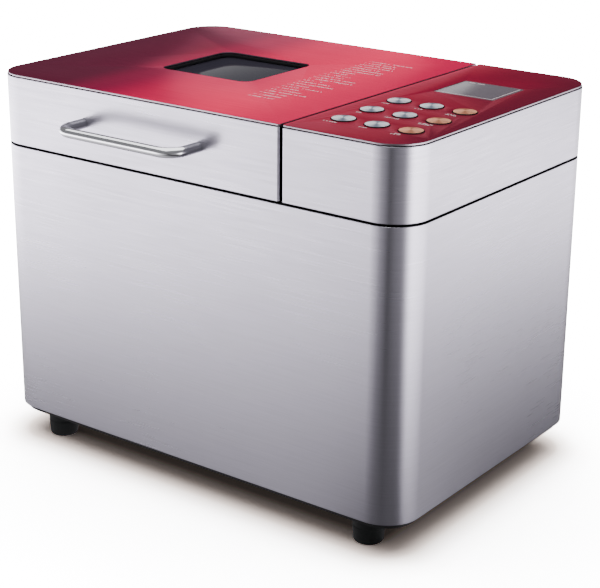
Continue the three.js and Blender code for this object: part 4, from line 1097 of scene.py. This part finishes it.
# ------------------------------------------------------------------------------ bands and plates
@dataclass
class Band:
    """An upper steel band open at the split, with both ends folded inward."""

    shop: Workshop
    casing: Casing
    fold: float = 2.6 * MM
    fold_radius: float = 1.5 * MM

    def path(self, node: str) -> Path:
        """The band's path, from its fold at one end of the split round to the fold at the other.

        Args:
            node: the CAD node of the band.

        Returns:
            The path, with its normals outward.
        """
        low, high = corners_of(node)
        around_low, around_high = corners_of("body_shell")
        at_right = high[0] < around_high[0] - MM
        split = high[0] if at_right else low[0]
        far = low[0] if at_right else high[0]
        y0, y1 = around_low[1], around_high[1]
        fold = self.fold + self.fold_radius
        ends = [(split, y1 - fold), (split, y1), (far, y1), (far, y0), (split, y0), (split, y0 + fold)]
        corners = np.array(ends if at_right else ends[::-1])
        wide, tight = self.casing.corner, self.fold_radius
        return rounded_path(corners, [0, tight, wide, wide, tight, 0], False, 18, 0.6 * MM)

    def build(self, name: str, node: str) -> bpy.types.Object:
        """The band as one folded sheet with rolled upper and lower edges.

        Args:
            name: the piece's name.
            node: the CAD node of the band.

        Returns:
            The object.
        """
        low, high = corners_of(node)
        profile = sheet_profile(low[2], high[2], self.casing.sheet, self.casing.roll)
        return self.shop.place(name, swept(self.path(node), profile), node)


def plate_outline(node: str, casing: Casing, split_radius: float) -> Path:
    """A top plate's outline: wide corners on the casing's side and tight ones at the split.

    Args:
        node: the CAD node of the plate.
        casing: the casing whose corners it follows.
        split_radius: radius of the two tight corners.

    Returns:
        The outline.
    """
    low, high = corners_of(node)
    around_low, around_high = corners_of("body_shell")
    inset = around_high[1] - high[1]
    wide = casing.corner - inset
    left = abs(low[0] - around_low[0]) < 2 * MM
    radii = [wide, split_radius, split_radius, wide] if left else [split_radius, wide, wide, split_radius]
    corners = [(low[0], low[1]), (high[0], low[1]), (high[0], high[1]), (low[0], high[1])]
    return rounded_path(corners, radii, True, 20)


# ------------------------------------------------------------------------------ lid
@dataclass
class Lid:
    """The hinged lid: band, red plate, window, moulded frame, inner cover, seal and handle."""

    shop: Workshop
    casing: Casing
    glass_lap: float = 4 * MM
    window_radius: float = 9 * MM
    plate_edge: float = 0.35 * MM
    handle_rod: float = 7.6 * MM
    handle_bend: float = 13 * MM
    mouth_radius: float = 34 * MM
    dome_margin: float = 3 * MM
    cover_sheet: float = 1.5 * MM
    mouth_in: float = 10 * MM
    seal_corner: float = 46 * MM
    seal_width: float = 5 * MM
    seal_round: float = 0.85 * MM
    list_left: float = 14 * MM
    list_top: float = 80 * MM
    list_foot: float = -73 * MM
    list_letter: float = 1.9 * MM
    list_rows: int = 24
    list_seed: int = 7
    number_size: float = 2.4 * MM
    number_ink: float = 0.015 * MM

    def window_path(self, grow: float = 0.0) -> Path:
        """The window opening's outline grown by a distance.

        Args:
            grow: the distance.

        Returns:
            The outline.
        """
        low, high = corners_of("lid_window")
        low, high = low[:2] + self.glass_lap - grow, high[:2] - self.glass_lap + grow
        return rounded_rectangle(low, high, self.window_radius + grow, 14)

    def build(self) -> None:
        """Makes every piece of the lid."""
        Band(self.shop, self.casing).build("lid_band", "lid_shell")
        self.build_plate()
        self.build_panes()
        self.build_cover()
        self.build_handle()
        self.build_list()
        self.shop.refine("lid_frame", 0.3 * MM)

    def build_plate(self) -> None:
        """The red plate with its window opening and a fine rounded cut edge."""
        low, high = corners_of("lid_top_plate")
        outline = plate_outline("lid_top_plate", self.casing, 1.6 * MM)
        surface = slab(outline, [self.window_path()], low[2], high[2], self.plate_edge)
        plate = self.shop.place("lid_red_plate", surface, "lid_top_plate", sharp=50)
        self.shop.walls(plate, self.shop.extra("cut_edge", CUT_EDGE), 0.6)

    def build_panes(self) -> None:
        """The outer and the inner window pane."""
        for name, node in (("window_pane", "lid_window"), ("inner_window_pane", "lid_inner_pane")):
            low, high = corners_of(node)
            surface = slab(self.window_path(self.glass_lap), [], low[2], high[2], 0.4 * MM)
            self.shop.place(name, surface, node)

    def build_cover(self) -> None:
        """The inner cover pressed from one sheet: a flat rim, a rounded dome wall and its roof."""
        low, high = corners_of("lid_cover")
        chamber_low, chamber_high = corners_of("oven_chamber")
        inner_low, inner_high = chamber_low[:2] + self.mouth_in, chamber_high[:2] - self.mouth_in
        radius = self.mouth_radius - self.dome_margin
        rim_z, roof_z = low[2], high[2] - self.cover_sheet
        sheet = self.cover_sheet
        outer = rounded_path(
            [(low[0], low[1]), (high[0], low[1]), (high[0], high[1]), (low[0], high[1])],
            [self.casing.corner - 1.3 * MM, 1.2 * MM, 1.2 * MM, self.casing.corner - 1.3 * MM], True, 14,
        )
        mouth = rounded_rectangle(inner_low, inner_high, radius, 14)
        rim = slab(outer, [mouth], rim_z, rim_z + sheet, 0.3 * MM)
        section = [
            (0, rim_z + 0.1 * MM), (0, roof_z + 0.2 * MM), (-sheet, roof_z + sheet), (-sheet, rim_z + sheet)
        ]
        radii = [0.1 * MM, 0.1 * MM, 1.2 * MM, 0.1 * MM]
        wall = swept(mouth, rounded_path(section, radii, True, 6, 0.2 * MM).points)
        lap = 0.1 * MM
        roof = rounded_rectangle(inner_low - sheet + lap, inner_high + sheet - lap, radius + sheet, 14)
        ceiling = slab(roof, [self.window_path()], roof_z, roof_z + sheet, 0.3 * MM)
        self.shop.place("inner_cover", merged([rim, wall, ceiling]), "lid_cover")
        seal_low, seal_high = corners_of("lid_seal")
        path = rounded_rectangle(seal_low[:2], seal_high[:2], self.seal_corner, 16)
        z0, z1, width = seal_low[2], seal_high[2], self.seal_width
        section = [(0, z0), (0, z1), (width, z1), (width, z0)]
        profile = rounded_path(section, self.seal_round, True, 6, 0.1 * MM).points
        self.shop.place("lid_gasket", swept(path, profile), "lid_seal")

    def build_handle(self) -> None:
        """The handle: a bent chrome rod, and its two screws."""
        low, high = corners_of("lid_handle")
        r = self.handle_rod / 2
        z, bar, root = (low[2] + high[2]) / 2, low[1] + r, high[1]
        corners = np.array([(low[0] + r, root), (low[0] + r, bar), (high[0] - r, bar), (high[0] - r, root)])
        grip = rod(corners, self.handle_bend, r, z, sides=32, steps=16)
        self.shop.place("handle_grip", grip, "lid_handle")
        for side in ("left", "right"):
            self.shop.refine("handle_screw_" + side, 0.2 * MM)

    def build_list(self) -> None:
        """The printed programme list: numbered rows of fine print with a ragged right edge."""
        low, high = corners_of("lid_top_plate")
        level = high[2] + INK
        random = np.random.default_rng(self.list_seed)
        middle = (low[1] + high[1]) / 2
        ys = middle + np.linspace(self.list_top, self.list_foot, self.list_rows)
        counts = random.integers(9, 26, self.list_rows)
        starts = np.full(self.list_rows, self.list_left + 5 * MM)
        rows = printed_rows(starts, ys, counts, self.list_letter, level, random)
        white = self.shop.extra("print_white", PRINT_WHITE)
        self.shop.place("program_list_rows", rows, "lid_top_plate", False, white)
        self.print_numbers(ys, level, white)

    def print_numbers(self, ys: Array, level: float, white: bpy.types.Material) -> None:
        """The row numbers of the programme list, as one flat printed mesh.

        Args:
            ys: y of each row's foot.
            level: height of the plate's print.
            white: the ink.
        """
        build = bmesh.new()
        for k, y in enumerate(ys):
            text = bpy.data.curves.new("number", "FONT")
            text.body, text.align_x = str(k + 1), "RIGHT"
            text.size, text.extrude = self.number_size, self.number_ink
            holder = linked("number", text)
            bpy.context.view_layer.update()
            evaluated = holder.evaluated_get(bpy.context.evaluated_depsgraph_get())
            mesh = bpy.data.meshes.new_from_object(evaluated)
            mesh.transform(Matrix.Translation((self.list_left + 3.6 * MM, y, level + self.number_ink)))
            build.from_mesh(mesh)
            bpy.data.objects.remove(holder)
        mesh = bpy.data.meshes.new("program_list_numbers")
        build.to_mesh(mesh)
        build.free()
        self.shop.dress(linked("program_list_numbers", mesh), "lid_top_plate", False, white)


# ------------------------------------------------------------------------------ controls
BUTTONS = tuple(f"button_{row}_{column}" for row in (1, 2, 3) for column in (1, 2, 3))


@dataclass
class Controls:
    """The control housing: band, red panel, display and nine spun buttons."""

    shop: Workshop
    casing: Casing
    clearance: float = 0.6 * MM
    lens_radius: float = 1 * MM
    lens_gap: float = 0.3 * MM
    plate_edge: float = 0.35 * MM
    flange: float = 1.85 * MM
    flange_sheet: float = 1.2 * MM
    stem: float = 3 * MM
    dome_drop: float = 0.55 * MM
    frame_line: float = 0.45 * MM
    label_letter: float = 1.6 * MM
    label_pitch: float = 2.2 * MM
    label_seed: int = 3

    def build(self) -> None:
        """Makes every piece of the control housing."""
        Band(self.shop, self.casing).build("control_band", "control_shell")
        self.build_panel()
        self.build_display()
        for name in BUTTONS:
            self.build_button(name)
        self.build_labels()
        for node in ("control_frame", "display_module", "control_board"):
            self.shop.refine(node, 0.25 * MM)

    def cap(self, name: str) -> tuple[Array, float, float]:
        """A button's centre, cap radius and top."""
        low, high = corners_of(name)
        return (low + high) / 2, (high[0] - low[0]) / 2 - self.flange, high[2]

    def build_panel(self) -> None:
        """The red panel with nine round holes and the display's opening."""
        low, high = corners_of("panel_plate")
        lens_low, lens_high = corners_of("display_lens")
        gap = self.lens_gap
        holes = [rounded_rectangle(lens_low[:2] - gap, lens_high[:2] + gap, self.lens_radius, 6)]
        for name in BUTTONS:
            centre, radius, _ = self.cap(name)
            holes.append(circle(centre, radius + self.clearance, 48))
        outline = plate_outline("panel_plate", self.casing, 1.6 * MM)
        surface = slab(outline, holes, low[2], high[2], self.plate_edge)
        panel = self.shop.place("control_red_panel", surface, "panel_plate", sharp=50)
        self.shop.walls(panel, self.shop.extra("cut_edge", CUT_EDGE), 0.6)

    def build_display(self) -> None:
        """The display window, pale lines along its front and right edges and a few segment dashes."""
        low, high = corners_of("display_lens")
        path = rounded_rectangle(low[:2], high[:2], self.lens_radius, 6)
        self.shop.place("display_window", slab(path, [], low[2], high[2], 0.25 * MM), "display_lens")
        level, w = high[2] + INK / 2, self.frame_line
        inset = 2.2 * MM
        x0, y0, x1, y1 = low[0] + inset, low[1] + inset, high[0] - inset, high[1] - inset
        lows = [(x0, y0), (x1 - w, y0), (x0 + 3 * MM, y1 - 1.6 * MM), (x0 + 10 * MM, y1 - 1.6 * MM)]
        highs = [(x1, y0 + w), (x1, y1), (x0 + 8 * MM, y1 - 0.9 * MM), (x0 + 16 * MM, y1 - 0.9 * MM)]
        frame_lines = blocks_of(np.array(lows), np.array(highs), level, INK)
        white = self.shop.extra("print_white", PRINT_WHITE)
        self.shop.place("display_lines", frame_lines, "display_lens", False, white)

    def build_button(self, name: str) -> None:
        """One turned button: a stem, a flange below the panel and a shallow spun dome.

        The cap's dome falls with the square of the radius and ends in a rounded rim.

        Args:
            name: the button's CAD node.
        """
        centre, radius, top = self.cap(name)
        low, high = corners_of(name)
        centre[2] = 0.0
        flange_top = corners_of("control_frame")[1][2] - 2.8 * MM
        across = np.linspace(0.02, 0.94, 14)
        dome = np.stack([across * radius, top - self.dome_drop * across**2], 1)[::-1]
        wide, under = radius + self.flange, flange_top - self.flange_sheet
        rim = [
            (0.3 * MM, low[2]), (self.stem, low[2]), (self.stem, under), (wide, under), (wide, flange_top),
            (radius, flange_top), (radius, top - 0.62 * MM), (radius * 0.95, top - 0.5 * MM),
        ]
        radii = [0, 0.3 * MM, 0.2 * MM, 0.2 * MM, 0.2 * MM, 0.2 * MM, 0.3 * MM, 0]
        profile = np.concatenate([arc_profile(rim, radii)[:-1], dome])
        button = self.shop.place("spun_" + name, turned(profile, centre, 72), name, sharp=40)
        self.shop.walls(button, self.shop.finish("black_plastic"), 0.85)

    def build_labels(self) -> None:
        """Fine print in front of each button, two lines for the last of each row."""
        random = np.random.default_rng(self.label_seed)
        level = corners_of("panel_plate")[1][2] + INK
        starts, feet, counts = [], [], []
        for name in BUTTONS:
            centre, radius, _ = self.cap(name)
            for line in range(2 if name.endswith("_3") else 1):
                count = int(random.integers(5, 10))
                starts.append(centre[0] - 4 * MM - count * 0.5 * MM)
                feet.append(centre[1] - radius - 4.2 * MM - line * self.label_pitch)
                counts.append(count)
        rows = (np.array(values) for values in (starts, feet, counts))
        labels = printed_rows(*rows, self.label_letter, level, random)
        white = self.shop.extra("print_white", PRINT_WHITE)
        self.shop.place("button_labels", labels, "panel_plate", False, white)


# ------------------------------------------------------------------------------ chamber and pan
@dataclass
class Chamber:
    """The oven chamber with its heating element, sensor and the seat of the pan."""

    shop: Workshop
    sheet: float = 1 * MM
    flange: float = 7 * MM
    mouth_radius: float = 34 * MM
    floor_radius: float = 5 * MM
    element_rod: float = 3.5 * MM
    element_inset: float = 9 * MM
    element_bend: float = 24 * MM
    lead_bend: float = 8 * MM
    lead_gap: float = 24 * MM
    lead_hole: float = 4.5 * MM
    sensor_hole: float = 2.8 * MM
    sensor_radius: float = 2.5 * MM
    sensor_collar: float = 5 * MM
    shaft_hole: float = 7 * MM

    def build(self) -> None:
        """Makes the chamber and what is fixed in it."""
        self.build_box()
        self.build_element()
        self.build_sensor()
        self.shop.refine("pan_seat", 0.4 * MM)

    def build_sensor(self) -> None:
        """The temperature sensor: a turned probe with a collar and a rounded tip."""
        low, high = corners_of("temperature_sensor")
        core, half, slim, collar = 0.1 * MM, (high[0] - low[0]) / 2, self.sensor_radius, self.sensor_collar
        points = [
            (core, -half), (slim, -half), (slim, 1 * MM), (collar, 1 * MM), (collar, 4 * MM), (slim, 4 * MM),
            (slim, half), (core, half),
        ]
        profile = arc_profile(points, [0, 1.8 * MM, 0.2 * MM, 0.3 * MM, 0.3 * MM, 0.2 * MM, 0.3 * MM, 0])
        self.shop.place("sensor_probe", turned(profile, (low + high) / 2, 32, X_AXIS), "temperature_sensor")

    def build_box(self) -> None:
        """The chamber: a flanged wall that runs through a rounded lower edge into its floor."""
        low, high = corners_of("oven_chamber")
        mouth = rounded_rectangle(low[:2] + self.flange, high[:2] - self.flange, self.mouth_radius, 16)
        z0, z1, t, f = low[2], high[2], self.sheet, self.flange
        section = [
            (-f, z1 - t), (-t, z1 - t), (-t, z0), (9 * MM, z0), (9 * MM, z0 + t), (0, z0 + t),
            (0, z1), (-f, z1),
        ]
        bend = self.floor_radius
        radii = [0.4 * MM, 0.5 * MM, bend, 0.3 * MM, 0.3 * MM, bend - t, 1.2 * MM, 0.4 * MM]
        walls = swept(mouth, rounded_path(section, radii, True, 6, 0.3 * MM).points)
        centre = (low + high) / 2
        lap = 8.8 * MM
        inner = rounded_rectangle(low[:2] + f + lap, high[:2] - f - lap, self.mouth_radius - lap, 16)
        floor = slab(inner, [circle(centre, self.shaft_hole, 40)], z0, z0 + t, 0.2 * MM)
        chamber = self.shop.place("chamber_walls", merged([walls, floor]), "oven_chamber")
        tools = []
        element_low, element_high = corners_of("heating_element")
        z = (element_low[2] + element_high[2]) / 2
        wall_x = high[0] - f
        sensor = sum(corners_of("temperature_sensor")) / 2
        for y, radius, level in (
            (centre[1] - self.lead_gap / 2, self.lead_hole, z),
            (centre[1] + self.lead_gap / 2, self.lead_hole, z),
            (sensor[1], self.sensor_hole, sensor[2]),
        ):
            hole = np.array([(0.3 * MM, -3 * MM), (radius, -3 * MM), (radius, 4 * MM), (0.3 * MM, 4 * MM)])
            tools.append(turned(hole, (wall_x, y, level), 24, X_AXIS))
        self.shop.cut(chamber, tools)

    def build_element(self) -> None:
        """The heating element: one tube bent round the chamber, with its two leads."""
        low, high = corners_of("heating_element")
        chamber_low, chamber_high = corners_of("oven_chamber")
        y_middle = (low[1] + high[1]) / 2
        r = self.element_rod
        x1 = chamber_high[0] - self.flange - self.element_inset
        lead = self.lead_gap / 2
        corners = np.array([
            (high[0], y_middle + lead), (x1, y_middle + lead), (x1, high[1] - r), (low[0] + r, high[1] - r),
            (low[0] + r, low[1] + r), (x1, low[1] + r), (x1, y_middle - lead), (high[0], y_middle - lead),
        ])
        bends = [0, self.lead_bend, *[self.element_bend] * 4, self.lead_bend, 0]
        tube = rod(corners, bends, r, (low[2] + high[2]) / 2, sides=20)
        self.shop.place("element_tube", tube, "heating_element")


@dataclass
class Pan:
    """The lift-out pan with its bail, spindle and kneading paddle."""

    shop: Workshop
    radius: float = 26 * MM
    wall: float = 1.6 * MM
    taper: float = 4 * MM
    lip: float = 3 * MM
    floor_radius: float = 7 * MM
    bail_rod: float = 5 * MM
    bail_bend: float = 12 * MM
    shaft_hole: float = 4.3 * MM
    paddle_height: float = 34 * MM
    paddle_half: float = 1.9 * MM
    hub: float = 9 * MM

    def build(self) -> None:
        """Makes the pan and what rides on it."""
        self.build_pan()
        self.build_bail()
        self.build_paddle()
        for node in ("pan_base", "pan_spindle"):
            self.shop.refine(node, 0.3 * MM)

    def build_pan(self) -> None:
        """The deep-drawn pan: a rolled lip, tapering walls and a rounded floor edge.

        The section's inset grows evenly from nought at the lip to the taper at the floor.
        """
        low, high = corners_of("bread_pan")
        centre = (low + high) / 2
        half = (high - low)[:2] / 2 - self.lip
        z0, z1, t = low[2], high[2], self.wall
        outline = rounded_rectangle(centre[:2] - half, centre[:2] + half, self.radius, 16)
        lip = self.lip
        section = [
            (-lip, z1 - 2.6 * MM), (-lip + 1.0 * MM, z1 - 2.6 * MM), (-lip + 1.0 * MM, z1 - t), (0, z1 - t),
            (self.taper, z0), (16 * MM, z0), (16 * MM, z0 + t), (self.taper + t, z0 + t), (t, z1), (-lip, z1),
        ]
        bend = self.floor_radius
        radii = [
            0.4 * MM, 0.4 * MM, 0.3 * MM, 1.0 * MM, bend, 0.3 * MM, 0.3 * MM, bend - t, 1.6 * MM, 1.4 * MM
        ]
        walls = swept(outline, rounded_path(section, radii, True, 6, 0.3 * MM).points)
        cut = 15.8 * MM
        inner = rounded_rectangle(centre[:2] - half + cut, centre[:2] + half - cut, self.radius - cut, 16)
        floor = slab(inner, [circle(centre, self.shaft_hole, 32)], z0, z0 + t, 0.2 * MM)
        bail_low, bail_high = corners_of("pan_bail")
        pivot = (centre[0], centre[1], bail_low[2] + self.bail_rod / 2)
        bore, rim = self.bail_rod / 2 + 0.3 * MM, self.bail_rod
        root, tip = half[0] - 1.2 * MM, half[0] + lip
        section = [(bore, root), (rim, root), (rim, tip), (bore, tip)]
        ring = arc_profile(section, [0.2 * MM, 0.2 * MM, 0.8 * MM, 0.3 * MM], True)
        bosses = [turned(ring, pivot, 36, side * X_AXIS, True) for side in (-1, 1)]
        self.shop.place("loaf_pan", merged([walls, floor, *bosses]), "bread_pan")

    def build_bail(self) -> None:
        """The bail: a bent chrome rod whose two ends turn in to the pan's bosses."""
        low, high = corners_of("pan_bail")
        r = self.bail_rod / 2
        pan_low, pan_high = corners_of("bread_pan")
        y0 = (pan_low[1] + pan_high[1]) / 2
        inner = (pan_high[0] - pan_low[0]) / 2 - self.lip + 0.3 * MM
        middle = (low[0] + high[0]) / 2
        x, y = (high[0] - low[0]) / 2 - r, high[1] - r
        corners = np.array([(-inner, y0), (-x, y0), (-x, y), (x, y), (x, y0), (inner, y0)])
        eye = self.bail_rod * 0.75
        bends = [0, eye, self.bail_bend, self.bail_bend, eye, 0]
        shape = rod(corners + np.array([middle, 0]), bends, r, low[2] + r)
        self.shop.place("bail_wire", shape, "pan_bail")

    def build_paddle(self) -> None:
        """The paddle: a tapered hub and a fin whose thickness falls towards its tip and crest.

        Along the fin its upper edge follows a low arch, and its half thickness shrinks with the
        square of both the share of the reach and the share of the height.
        """
        low, high = corners_of("kneading_paddle")
        pan_low, pan_high = corners_of("bread_pan")
        centre = (pan_low + pan_high) / 2
        z0 = low[2]
        hub_top = corners_of("pan_spindle")[1][2] + 5 * MM
        core = 0.2 * MM
        section = [
            (core, z0), (self.hub, z0), (self.hub - 1.5 * MM, hub_top - 2 * MM), (self.hub - 5 * MM, hub_top),
            (core, hub_top),
        ]
        hub = turned(arc_profile(section, [0, 0.6 * MM, 1.2 * MM, 1 * MM, 0]), (centre[0], centre[1], 0), 48)
        share = np.linspace(0, 1, 40)[:, None]
        up = np.linspace(0, 1, 24)[None]
        reach = high[0] - centre[0]
        crest = self.paddle_height * (0.5 + 0.5 * np.sin(np.clip(share * 1.15, 0, 1) * np.pi / 2) ** 1.5)
        lean = 1 - 0.16 * up**2
        x = share * reach * lean
        z = up * crest * np.sqrt(np.clip(1 - np.clip((share - 0.86) / 0.14, 0, 1) ** 2 * 0.5, 0, 1))
        thick = self.paddle_half * (1 - 0.45 * share**2) * (1 - 0.45 * up**2)
        thick = thick * np.sqrt(np.clip(1.02 - up**8, 0, 1)) + 0.05 * MM
        near, far = (
            np.stack([centre[0] + x, centre[1] + sign * thick, z0 + z + 0 * share], -1) for sign in (-1, 1)
        )
        ring = np.concatenate([far, near[:, ::-1]], 1)
        fin = grid_surface(ring, False, True)
        self.shop.place("dough_paddle", merged([hub, fin]), "kneading_paddle")


# ------------------------------------------------------------------------------ drive
@dataclass
class Drive:
    """The motor, shafts, pulleys, belt and boards inside the casing."""

    shop: Workshop

    def build(self) -> None:
        """Gives every piece of the drive softened edges."""
        for node in (
            "drive_bearing", "motor_housing", "motor_bracket", "power_board", "motor_capacitor", "drive_belt",
            "drive_shaft", "large_pulley", "motor_shaft", "motor_pulley", "motor_fan",
        ):
            self.shop.refine(node, 0.3 * MM)


# ------------------------------------------------------------------------------ studio
@dataclass
class Studio:
    """The floor, the soft lights and the camera.

    The brushed sheets mirror the floor, so its glow in reflections sets their shading: it rises
    with the distance from the machine and is dark in a sector that starts at the right corner.
    The sector's steps are pairs of an angle at that corner and a level. The angle is in degrees
    from the camera's side, and grows towards the right.
    """

    camera_place: Point = (0.7323, -0.9622, 0.5603)
    yaw: float = 36.59
    pitch: float = 19.72
    roll: float = 0.49
    lens: float = 97.4
    floor_half: float = 30.0
    floor_grey: float = 0.75
    floor_gain: float = 14.0
    white: float = 22.0
    glow_reach: float = 1.6
    glow_peak: float = 12.0
    glow_steps: tuple = (
        (0.0, 0.040), (0.0625, 0.060), (0.156, 0.10), (0.219, 0.142), (0.29, 0.215), (0.35, 0.33),
        (0.42, 0.54), (0.5, 0.83), (0.62, 1.0), (1.0, 0.3),
    )
    sector_steps: tuple = (
        (-216.6, 0.26), (-160, 0.7), (-110, 0.9), (-90, 0.84), (-73, 0.58), (-62, 0.30), (-42, 0.09),
        (-16, 0.0), (0, 0.03), (20, 0.06), (29, 0.11), (38, 0.38), (47, 0.9), (56, 1.0), (90, 0.85),
        (105, 0.68), (125, 0.34), (143.4, 0.26),
    )
    sector_level: float = 0.08
    # painted shadow: where the camera's floor colour darkens towards the machine's footprint
    shade_from: float = -0.03
    shade_to: float = 0.06
    shade_steps: tuple = (
        (0.0, (0.05, 0.040, 0.034)), (0.33, (0.24, 0.205, 0.185)), (0.44, (0.48, 0.45, 0.43)),
        (0.56, (0.80, 0.78, 0.77)), (0.72, (0.97, 0.965, 0.96)), (1.0, (1.0, 1.0, 1.0)),
    )
    fade_from: float = 0.1
    fade_to: float = 0.45
    footprint_corner: float = 30 * MM
    sector_in: float = 27 * MM
    surround: float = 0.28

    def build(self) -> None:
        """Makes the camera, floor, world and lights."""
        self.build_camera()
        self.build_floor()
        self.build_world()
        self.light("overhead", (-0.2, 0.1, 1.9), (0, 0, 0), (2.6, 2.6), 62)
        self.light("rear_panel", (-0.94, 1.34, 0.70), (-0.05, 0.0, 0.3), (0.48, 0.8), 1.9)

    def build_camera(self) -> None:
        """The camera, turned down by the pitch and to the left by the yaw."""
        camera = bpy.data.cameras.new("camera")
        camera.lens, camera.sensor_width = self.lens, 36.0
        holder = linked("camera", camera)
        holder.location = self.camera_place
        tilt = Euler((math.radians(90 - self.pitch), 0, math.radians(self.yaw)), "XYZ").to_matrix()
        spin = Euler((0, 0, math.radians(self.roll)), "XYZ").to_matrix()
        holder.rotation_euler = (tilt @ spin).to_euler()
        bpy.context.scene.camera = holder

    def footprint_distance(self, nodes: Nodes, at: bpy.types.Node) -> bpy.types.NodeSocket:
        """Distance from the machine's rounded footprint: the length of the part beyond it.

        Args:
            nodes: the floor's nodes.
            at: the floor's coordinates, split.

        Returns:
            The distance in metres.
        """
        low, high = corners_of("base_plate")
        outside = []
        for k, axis in enumerate("XY"):
            middle, half = float(low[k] + high[k]) / 2, float(high[k] - low[k]) / 2
            offset = nodes.maths("ABSOLUTE", nodes.maths("SUBTRACT", at.outputs[axis], middle))
            beyond = nodes.maths("SUBTRACT", offset, half - self.footprint_corner)
            outside.append(nodes.maths("MAXIMUM", beyond, 0.0))
        squares = [nodes.maths("MULTIPLY", d, d) for d in outside]
        length = nodes.maths("SQRT", nodes.maths("ADD", *squares))
        return nodes.maths("SUBTRACT", length, self.footprint_corner)

    def ramp(self, nodes: Nodes, value: Value, steps: tuple) -> bpy.types.NodeSocket:
        """A ramp over a value from nought to one, with a grey level or a colour at each place.

        Args:
            nodes: the floor's nodes.
            value: the value.
            steps: pairs of a place and a level or colour.

        Returns:
            The colour.
        """
        made = nodes.new("ShaderNodeValToRGB", inputs={"Fac": value})
        tones = [(place, np.broadcast_to(tone, 3).tolist()) for place, tone in steps]
        for place, tone in tones[1:-1]:
            made.color_ramp.elements.new(place).color = (*tone, 1)
        for k in (0, -1):
            made.color_ramp.elements[k].color = (*tones[k][1], 1)
        return made.outputs["Color"]

    def sector(self, nodes: Nodes, at: bpy.types.Node) -> bpy.types.NodeSocket:
        """The share of the glow by the angle at the right front corner.

        Args:
            nodes: the floor's nodes.
            at: the floor's coordinates, split.

        Returns:
            The share.
        """
        low, high = corners_of("base_plate")
        x = nodes.maths("SUBTRACT", at.outputs["X"], float(high[0]) - self.sector_in)
        y = nodes.maths("SUBTRACT", at.outputs["Y"], float(low[1]) + self.sector_in)
        angle = nodes.maths("ARCTAN2", x, nodes.maths("MULTIPLY", y, -1.0))
        first = self.sector_steps[0][0]
        steps = tuple(((turn - first) / 360, level) for turn, level in self.sector_steps)
        share = nodes.maths("DIVIDE", nodes.maths("ADD", angle, math.pi), 2 * math.pi, True)
        return self.ramp(nodes, share, steps)

    def build_floor(self) -> None:
        """A pale floor that looks white, is grey to diffuse light and glows in reflections. Seen by the
        camera, its colour carries a painted contact shadow round the machine's footprint, multiplied into its
        real shading.
        """
        half = self.floor_half
        mesh = bpy.data.meshes.new("floor")
        corners = [(-half, -half, 0), (half, -half, 0), (half, half, 0), (-half, half, 0)]
        mesh.from_pydata(corners, [], [(0, 1, 2, 3)])
        floor = linked("floor", mesh)
        material = bpy.data.materials.new("pale_floor")
        material.use_nodes = True
        nodes = Nodes(material.node_tree)
        material.node_tree.nodes.remove(material.node_tree.nodes["Principled BSDF"])
        place = nodes.new("ShaderNodeTexCoord").outputs["Object"]
        at = nodes.new("ShaderNodeSeparateXYZ", inputs={"Vector": place})
        distance = self.footprint_distance(nodes, at)
        rise = self.ramp(nodes, nodes.maths("DIVIDE", distance, self.glow_reach, True), self.glow_steps)
        glow = nodes.maths("MULTIPLY", rise, self.glow_peak)
        strength = nodes.between(self.sector(nodes, at), self.sector_level, glow)
        path = nodes.new("ShaderNodeLightPath")
        grey = nodes.new("ShaderNodeBsdfDiffuse", inputs={"Color": (*[self.floor_grey] * 3, 1)}).outputs[0]
        cool = {"Color": (0.98, 0.96, 1.0, 1), "Strength": strength}
        mirrored = nodes.new("ShaderNodeEmission", inputs=cool).outputs[0]
        # painted contact shadow: a colour ramp by distance from the footprint, multiplied into the real
        # diffuse shading
        share = nodes.share(distance, self.shade_from, self.shade_to)
        painted_shadow_colour = nodes.new("ShaderNodeVectorMath", operation="SCALE", inputs={
            "Vector": self.ramp(nodes, share, self.shade_steps), "Scale": self.floor_gain,
        }).outputs[0]
        near = nodes.new("ShaderNodeBsdfDiffuse", inputs={"Color": painted_shadow_colour}).outputs[0]
        far = nodes.new("ShaderNodeEmission", inputs={"Strength": self.white}).outputs[0]
        fade = nodes.share(distance, self.fade_from, self.fade_to, "SMOOTHSTEP")
        seen = nodes.shader(fade, near, far)
        unseen = nodes.shader(path.outputs["Is Glossy Ray"], grey, mirrored)
        whole = nodes.shader(path.outputs["Is Camera Ray"], unseen, seen)
        material.node_tree.links.new(whole, material.node_tree.nodes["Material Output"].inputs["Surface"])
        mesh.materials.append(material)

    def build_world(self) -> None:
        """A dim lilac-grey surround that the camera itself sees as white."""
        world = bpy.data.worlds.new("surround")
        world.use_nodes = True
        nodes = Nodes(world.node_tree)
        seen = nodes.new("ShaderNodeLightPath").outputs["Is Camera Ray"]
        strength = nodes.between(seen, self.surround, self.white)
        sky = world.node_tree.nodes["Background"]
        sky.inputs["Color"].default_value = (0.97, 0.97, 1.0, 1)
        world.node_tree.links.new(strength, sky.inputs["Strength"])
        bpy.context.scene.world = world

    def light(
        self, name: str, place: Point, target: Point, size: tuple[float, float], power: float
    ) -> None:
        """A soft rectangular light that the camera doesn't see.

        Args:
            name: its name.
            place: where it stands.
            target: the point it looks at.
            size: its width and height.
            power: its power in watts.
        """
        lamp = bpy.data.lights.new(name, "AREA")
        lamp.shape, lamp.size, lamp.size_y, lamp.energy = "RECTANGLE", size[0], size[1], power
        holder = linked(name, lamp)
        holder.location = place
        holder.rotation_euler = (Vector(target) - Vector(place)).to_track_quat("-Z", "Y").to_euler()
        holder.visible_camera = False


def main() -> None:
    """Builds the machine around the frame."""
    logging.basicConfig(level=logging.INFO, format="%(name)s: %(message)s")
    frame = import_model()
    Studio().build()
    shop = Workshop(frame)
    casing = Casing(shop)
    casing.build()
    Lid(shop, casing).build()
    Controls(shop, casing).build()
    Chamber(shop).build()
    Pan(shop).build()
    Drive(shop).build()
    left = sorted(set(shop.nodes) - shop.done)
    for node in left:
        shop.dress(shop.nodes[node], node, False)


if __name__ == "__main__":
    main()
